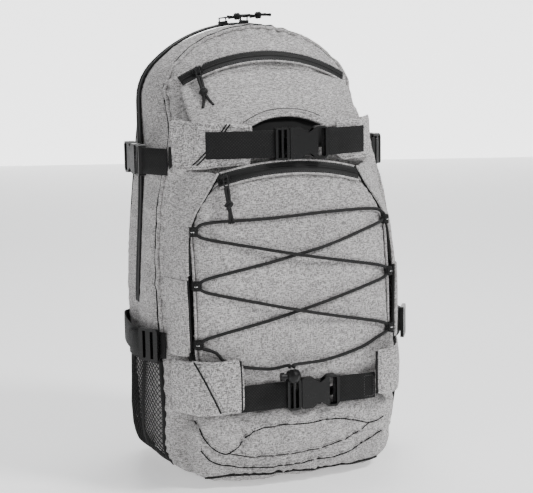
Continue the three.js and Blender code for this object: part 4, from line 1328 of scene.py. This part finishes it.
make_upper_wings()
make_lower_wings()


def box_stitches(name, centre, half_along, half_across, out, along):
    """The stitched square that holds a strap's end."""
    centre, up = np.array(centre, float), np.array((0, 0, 1), float)
    corners = [centre + along * half_along * i + up * half_across * j
               for i, j in looped(np.array([(-1, -1), (1, -1), (1, 1), (-1, 1)]))]
    path = np.vstack([np.linspace(p, q, 12) for p, q in zip(corners, corners[1:])])
    placed(stitches(name, path, out, DARK_THREAD, length=2.0, gap=.8, radius=.32), "webbing")


def make_board_straps():
    for name, sewn, bend in (("upper", (91, -82.3), (46, -94.5)), ("lower", (86, -119.5), (50, -120.5))):
        mx, my = MOUTH[name]
        z = STRAP_Z[name]
        half_x, half_y = (sewn[0] + bend[0]) / 2, (sewn[1] + bend[1]) / 2 - 1.5
        line = [(-sewn[0], sewn[1], z), (-half_x, half_y, z), (-bend[0], bend[1], z), (mx - 22, my, z),
                (mx - 11, my, z)]
        left = strap(f"{name}_webbing_left", line, WEBBING, WEB, body=None)
        placed(left, "webbing", f"{name}_strap_left")
        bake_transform(left)
        line = [(mx + 38, my, z), (mx + 46, my, z), (bend[0] + 10, bend[1], z), (half_x + 4, half_y, z),
                (sewn[0], sewn[1], z)]
        placed(strap(f"{name}_webbing_right", line, WEBBING, WEB), "webbing", f"{name}_strap_right")
        for s, side in SIDES:
            slope = unit(np.array([s * (sewn[0] - bend[0]), sewn[1] - bend[1], 0]))
            out = np.cross(slope, (0, 0, 1))
            out = out if out[1] < 0 else -out
            centre = np.array([s * (sewn[0] - 8), sewn[1], z]) + out * 1.4 - (0, 1.0, 0)
            box_stitches(f"{name}_webbing_{side}_box", centre, 5.5, WEBBING / 2 - 3, out, slope)


make_board_straps()


# ------------------------------------------------------------------ side straps and mesh pockets
def make_side_straps():
    for s, side in SIDES:
        high = lambda *points: [(s * x, y, SIDE_Z) for x, y in points]
        front = strap(f"side_webbing_{side}", high((123, -45), (130, -34), (137, -20), (141, -8), (141, -4)),
                      WEBBING, WEB, body=None, out=(s, -.2, 0))
        placed(front, "webbing", f"side_strap_{side}")
        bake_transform(front)
        back = strap(f"side_webbing_back_{side}", high((141, 44), (140, 52), (134, 66), (130, 74)), WEBBING,
                     WEB,
                     out=(s, .2, 0))
        z = LOW_SIDE_Z
        line = [(s * x, y, z) for x, y in ((137, -68), (143, -60), (153, -40), (158, -8), (155, 30),
                                           (147, 66),
                                           (139, 76))]
        low = strap(f"low_side_webbing_{side}", line, WEBBING, WEB, out=(s, 0, 0), count=70)
        placed(low, "webbing", f"low_side_strap_{side}")
        line = [(s * 150.5, -49, z), (s * 157, -38, z - 1), (s * 160.5, -24, z - 3), (s * 161, -8, z - 4)]
        placed(strap(f"low_side_tail_{side}", line, WEBBING - 2, WEB, out=(s, -.3, 0)), "webbing")
        patch = strap(f"side_gusset_patch_{side}", high((121, -46), (116, -50)), WEBBING + 4, BLACK,
                      out=(s, -1, 0), thick=1.2)


make_side_straps()


def mesh_point(t, up, s, fold=0.0):
    """A point on a side pocket's mesh: t runs from front to back, and up from foot to hem, both 0 to 1."""
    z = MESH_FOOT + MESH_HEIGHT * up
    low_right = OUTLINE[(OUTLINE[:, 0] > 90) & (OUTLINE[:, 1] < 300)]
    half = float(np.interp(z, low_right[:, 1], low_right[:, 0]))
    bulge = float(np.interp(up, [0, .12, .3, .5, 1], [.35, .75, .95, 1, .8]))
    front = -44 - 14 * min(1, 2 * up)
    waves = 2.2 * math.sin(11 * t + 1.5 * up) + 1.1 * math.sin(23 * t + 3 * up)
    ripple = fold * math.sin(math.pi * t) * waves
    out = 21 * bulge * math.sin(math.pi * t) ** .6 + ripple
    return np.array([s * (half - 3 + out), front + (52 - front) * t, z])


def mesh_net(side, s):
    """A net of thin strands between staggered rows of points, in place of the pocket's mesh."""
    columns, rows = 23, 40
    verts, faces = [], []
    for r in range(rows + 1):
        for c in range(columns + 1):
            t = (c + (.5 if r % 2 else 0)) / (columns + .5)
            verts.append(mesh_point(min(1, t), r / rows, s, fold=1.0))
    at = lambda r, c: r * (columns + 1) + c
    for r in range(rows - 1):
        for c in range(columns):
            middle = c if r % 2 else c + 1
            faces.append((at(r, middle), at(r + 1, c + 1), at(r + 2, middle), at(r + 1, c)))
    net = obj_of(f"mesh_net_{side}", verts, faces, STRAND)
    bm = bmesh.new()
    bm.from_mesh(net.data)
    bmesh.ops.delete(bm, geom=[v for v in bm.verts if not v.link_faces], context="VERTS")
    bm.to_mesh(net.data)
    bm.free()
    modifier(net, "WIREFRAME", thickness=1.3 * MM, use_replace=True, use_even_offset=False, offset=0)
    applied(net)
    placed(net, "pocket_mesh", f"mesh_pocket_{side}")


def make_mesh_pockets():
    for s, side in SIDES:
        mesh_net(side, s)
        rim = [mesh_point(t, 1, s, 1.0) for t in np.linspace(0, 1, 24)]
        placed(strap(f"mesh_hem_{side}", rim, 13, BLACK, out=(s, 0, 0), thick=1.8, count=70), "pocket_mesh")
        for name, t in (("front", 0.0), ("back", 1.0)):
            heights = (np.linspace(18, 140, 12) - MESH_FOOT) / MESH_HEIGHT
            line = [mesh_point(t, up, s) + (s * 3.4, 0, 0) for up in heights]
            placed(tube(f"mesh_binding_{name}_{side}", line, 2.6, BLACK, count=50), "pocket_mesh")
        foot = [mesh_point(t, 1 / MESH_HEIGHT, s) + (s * .5, 0, 0) for t in np.linspace(0, 1, 12)]
        placed(tube(f"mesh_foot_{side}", foot, 1.7, BLACK, count=50), "pocket_mesh")


make_mesh_pockets()


# ------------------------------------------------------------------ elastic cord, loops and cord lock
def make_elastic():
    """The laced elastic cord, and the webbing loops it runs through."""
    top, middle, low = LOOP_HEIGHTS
    on = lambda x, z, off=0.0: (x, float(front_face(x, z)) - CORD_RADIUS - 1.7 - off, z)

    def turn(s, z):
        """Round a loop: in from above, and out below."""
        return [on(s * (LOOP_X + out), z + rise, off) for out, rise, off in
                ((-14, 9, 0), (-1, 4, 1), (1.5, 0, 1.5), (-1, -4, 1), (-14, -9, 0))]

    def across(s, z0, z1, off):
        """From one side's loop to the other's, passing the crossing cord at a distance of off."""
        return [on(s * (LOOP_X - 14) * (1 - 2 * t), (z0 - 9) + (z1 - z0 + 18) * t,
                   off if t == .5 else off / 2)
                for t in (.3, .5, .7)]

    x, y, z = CORD_LOCK
    route = [(x - 3, y + 4, z + 8), (x - 3.5, y + 4, z + 11), on(-40, 134), on(-80, 142),
             *turn(-1, low)[::-1],
             *across(1, middle, low, 0)[::-1], *turn(1, middle)[::-1], *across(-1, top, middle, 4.5)[::-1],
             *turn(-1, top)[::-1], on(-30, top + 11), on(40, top + 14), *turn(1, top + 4),
             *across(1, top, middle, 0), *turn(-1, middle), *across(-1, middle, low, 4.5), *turn(1, low),
             on(70, 146), on(30, 138), (x + 3.5, y + 4, z + 11), (x + 3, y + 4, z + 8)]
    placed(tube("elastic_lacing", route, CORD_RADIUS, BRAID, count=900, sides=12), "elastic", "elastic_cord")
    for s, side in SIDES:
        x = s * (FRONT["half"] + 2.5)
        rim = lambda z: float(front_rim(x, z))
        line = [(x, rim(z) + 12, z) for z in np.linspace(150, 296, 10)]
        tape = strap(f"loop_webbing_{side}", line, 14, WEB, out=(s, 0, 0), thick=1.4)
        placed(tape, "webbing", f"loop_tape_{side}")
        for i, z in enumerate(LOOP_HEIGHTS):
            line = [(x, rim(z) + 8, z), (x - s * .5, rim(z) - 3, z)]
            line += [(s * (LOOP_X + out), rim(z) - proud, z) for out, proud in
                     ((6, 8.5), (1, 10), (-1.5, 7.5), (1, 5), (5, 3.5))]
            loop = strap(f"cord_loop_{side}_{i}", line, 10, WEB, out=(s, -.4, 0), thick=1.3, count=60)
            front = spline(line[1:4], 30) + (0, -1.0, 0)
            dashes = stitches(f"reflective_dashes_{side}_{i}", front, (s * .3, -1, 0), REFLECT, length=1.5,
                              gap=.9,
                              radius=.55, lift=.25)


make_elastic()


# ------------------------------------------------------------------ harness and back
PAD_LINE = [(47, 93.5, 450), (50, 103, 428), (56, 113, 400), (64, 118, 352), (71, 118, 300), (78, 115, 250),
            (83, 110, 205)]
pad_width = curve_table([(200, 40), (240, 50), (300, 60), (400, 62), (450, 54)])


def pad_ring(line, i, s, width, thick, profile):
    """A shoulder pad's section at a point of its line, and the directions across and out of it."""
    along = unit(line[min(len(line) - 1, i + 1)] - line[max(0, i - 1)])
    across = unit(np.array([1, 0, 0]) - along * along[0])
    out = np.cross(along, across)
    out = out if out[1] > 0 else -out
    ring = np.array([line[i] + across * a * width / 2 + out * b * thick / 2 for a, b in profile])
    return ring * (s, 1, 1), across * (s, 1, 1), out * (s, 1, 1)


def signed_power(value, power):
    return math.copysign(abs(value) ** power, value)


def make_shoulder_straps():
    """Padded straps: cloth simulated over foam, bound edges, and a ladder of webbing down the middle."""
    line = spline(PAD_LINE, 60)
    last = len(line) - 1
    profile = [(signed_power(math.cos(a), .35), .92 * signed_power(math.sin(a), .7))
               for a in np.linspace(0, 2 * math.pi, 28, endpoint=False)]
    for s, side in SIDES:
        rings, inner, outer, middles = [], [], [], []
        for i in range(len(line)):
            width = float(pad_width(line[i][2]))
            end = min(1, .72 + .28 * math.sin(math.pi / 2 * min(1, min(i, last - i) / 4)))
            ring, across, out = pad_ring(line, i, s, width * .97 * end, PAD_THICK * .8 * end, profile)
            here = line[i] * (s, 1, 1)
            rings.append(ring)
            inner.append(here - across * width * .485 * end)
            outer.append(here + across * width * .485 * end)
            middles.append((here + out * PAD_THICK * .42, out, across))
        inner, outer = np.array(inner), np.array(outer)
        pad = placed(lofted(f"shoulder_pad_{side}", rings, DARK), "strap_pad_fabric",
                     f"shoulder_strap_{side}")
        remeshed(pad, 4.0)
        relaxed(pad, 2)
        co = coords(pad) / MM
        held = np.where((near([inner, outer], co, 7) > .3) | (co[:, 2] > 438), 1, 0)
        inflated(pad, held, 3, pressure=3.5, grow=.01, bending=.6)
        subdivided(pad)
        channels = [np.array([m + a * k * 9 for m, _, a in middles[8:-8]]) for k in (-1, 1)]
        grooved(pad, [*channels, inner, outer], 2.0, 1.1, pucker=.35, pitch=10)
        wrinkled(pad, (.25, 40, 81 + s))
        for name, edge in (("in", inner), ("out", outer)):
            placed(tube(f"shoulder_binding_{side}_{name}", edge[::4], 2.2, FOAM_EDGE, count=110),
                   "strap_pad_fabric")
        outs = np.array([m[1] for m in middles])[10:-6]
        ladder = np.array([m[0] for m in middles])[10:-6] + outs * 1.3
        placed(swept(f"shoulder_ladder_{side}", ladder, outs, flat_section(18, 1.4), WEB), "webbing")
        for j, (m, out, across) in enumerate(middles[14:-12:5]):
            bar = np.array([m + out * 2.05 + across * v for v in np.linspace(-7, 7, 10)])
            tack = stitches(f"ladder_tack_{side}_{j}", bar, out, DARK_THREAD, length=2.0, gap=.3, radius=.3)


make_shoulder_straps()


def make_lower_webbing():
    """Webbing from each shoulder pad through its adjuster to the pack's foot, with a loose tail."""
    down = unit(np.array([.08, -.14, -.98]))
    foot = np.array(PAD_LINE[-1], float)
    lock = foot + down * 14
    for s, side in SIDES:
        sided = lambda points: [np.array(p) * (s, 1, 1) for p in points]
        lead = sided([foot + (0, 0, 6), foot, foot + down * 6, lock - down * 3])
        web = strap(f"shoulder_lead_{side}", lead, NARROW, WEB, None, (0, 1, .1), 1.6)
        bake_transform(web)
        out = (s * .3, 1, .1)
        line = sided([lock + down * 3, lock + down * 14, (91, 105, 150), (98, 101, 110), (106, 93, 74),
                      (112, 87.5, 52)])
        placed(strap(f"shoulder_web_{side}", line, NARROW, WEB, out=out, count=70), "webbing",
               f"shoulder_webbing_{side}")
        loose = sided([lock + down * 3 + (0, 3.2, 0), lock + down * 16 + (0, 5, 0), (96, 113, 158),
                       (99, 114, 136),
                       (101, 112.5, 118)])
        placed(strap(f"shoulder_tail_{side}", loose, NARROW - 1, WEB, out=out), "webbing")
        sheet_between(f"webbing_anchor_{side}", [(s * 98, 86.5, 40), (s * 122, 84.5, 50)],
                      [(s * 104, 86.8, 66), (s * 121, 86, 70)], SHELL, thick=3, rows=8)


make_lower_webbing()


def make_back_pad(s, side):
    """A foam pad under spacer mesh, pressed in along three bars, with a bound edge."""
    size = dict(half=41, low=68.5, high=395.5, corner=29, arch=0, swollen=0)
    outline = pocket_outline(size, 84)
    middle = s * 54
    rings = [pocket_ring(size, outline, part, y) + (middle, 0, 0) for part, y in (
        (.05, 86.2), (.5, 86.2), (.97, 86.2), (1, 88), (1, 91), (.985, 93.4), (.94, 95), (.85, 95.6),
                                                                                  (.6, 95.8),
        (.3, 95.8), (.05, 95.8))]
    pad = placed(lofted(f"back_pad_{side}_mesh", rings, SPACER), "back_mesh", f"back_pad_{side}")
    remeshed(pad, 4.0)
    relaxed(pad, 2)
    co = coords(pad) / MM
    bars = [np.array([(middle + x, 96, z) for x in np.linspace(-30, 30, 20)]) for z in (150, 232, 314)]
    held = np.where((co[:, 1] < 88.5) | (near(bars, co, 7) > .4), 1, 0)
    inflated(pad, held, 2.5, pressure=3.5, bending=.8)
    subdivided(pad)
    grooved(pad, bars, 3.2, 3.0)
    wrinkled(pad, (.2, 45, 95 + s))
    rim = looped(pocket_ring(size, outline, 1.012, 86.6) + (middle, 0, 0))
    placed(tube(f"back_pad_binding_{side}", rim[::3], 1.6, FOAM_EDGE, count=240), "back_mesh")


def make_back():
    """Back panel, its piping, and the two pads."""
    x, z = OUTLINE.T
    spine = spine_of(z)
    ring = lambda part, y: np.column_stack([x * part, np.full(len(x), y), spine + (z - spine) * part])
    panel = lofted("back_cloth", [ring(part, y) for part, y in (
        (.05, 80.6), (.5, 80.6), (.93, 80.6), (.955, 82), (.955, 84), (.935, 85.4), (.9, 85.9), (.8, 85.9),
        (.6, 85.9), (.4, 85.9), (.2, 85.9), (.05, 85.9))], DARK)
    placed(panel, "back_fabric", "back_panel")
    remeshed(panel, 2.2)
    wrinkled(panel, (.35, 22, 91))
    placed(tube("back_piping", looped(ring(.965, 80.5))[::3], 2.1, BLACK, count=320), "back_fabric")
    for s, side in SIDES:
        make_back_pad(s, side)


make_back()


def make_haul_loop():
    """The haul loop with its grip, and the yoke it is sewn to."""
    half, drop, top = 24, 22, 482
    sag = [(-half * math.cos(a), 0, -drop * math.sin(a)) for a in np.linspace(0, math.pi, 9)]
    line = spline(np.array([(-half, 0, 8), *sag, (half, 0, 8)]) + (0, 94, top), 80)
    out = np.cross((0, 1, 0), directions(line))
    loop = swept("haul_webbing", line, out, flat_section(16, 2.2), WEB, "haul_loop")
    placed(loop, "webbing", "haul_loop")
    held = slice(26, 54)
    grip = swept("haul_grip", line[held], out[held], flat_section(13, 5.2, .8), FOAM_EDGE, "haul_loop")
    xs = np.linspace(-78, 78, 30)
    patch = sheet_between("harness_yoke", [(x, 87.6, 436) for x in xs],
                          [(x, 86.6, 470 - .0016 * x * x) for x in xs],
                          SHELL, thick=2.6, rows=12, sag=.6)
    subdivided(patch)


make_haul_loop()


def make_sternum():
    """The chest strap's webbing; the right part rides on the strap's body, the left part is not attached to one.
    """
    z = 330
    mx, my = -6, 130.5
    for s, side in SIDES:
        start = mx - 9.5 if s < 0 else mx + 34
        line = [(start, my, z), (start + s * 10, my, z), (s * 48, 128.4, z), (s * 66, 127.4, z),
                (s * 84, 126.6, z)]
        body = None if s < 0 else "sternum_strap"
        web = strap(f"sternum_webbing_{side}", line, NARROW, WEB, body=body, out=(0, 1, 0))
        placed(web, "webbing", f"sternum_strap_{side}")
        if s < 0:
            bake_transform(web)


make_sternum()


# ------------------------------------------------------------------ CAD pieces that stay
def finish_hard_parts():
    """Moulded and metal nodes keep their shape, and get soft edges and their own finish."""
    soft = {"slider_metal": METAL, "buckle_plastic": PLASTIC, "frame_plastic": PLASTIC}
    slots = {p["node"]: p["material_slot"] for p in frame["record"]["subparts"]}
    for name, obj in NODES.items():
        if obj.hide_render or slots.get(name) not in soft:
            continue
        obj.data.materials.clear()
        obj.data.materials.append(soft[slots[name]])
        obj.data.shade_smooth()
        width = .35 if "slider" in name else .8
        modifier(obj, "BEVEL", width=width * MM, segments=3, limit_method="ANGLE",
                 angle_limit=math.radians(38),
                 harden_normals=False)
        modifier(obj, "WEIGHTED_NORMAL", keep_sharp=True)


finish_hard_parts()
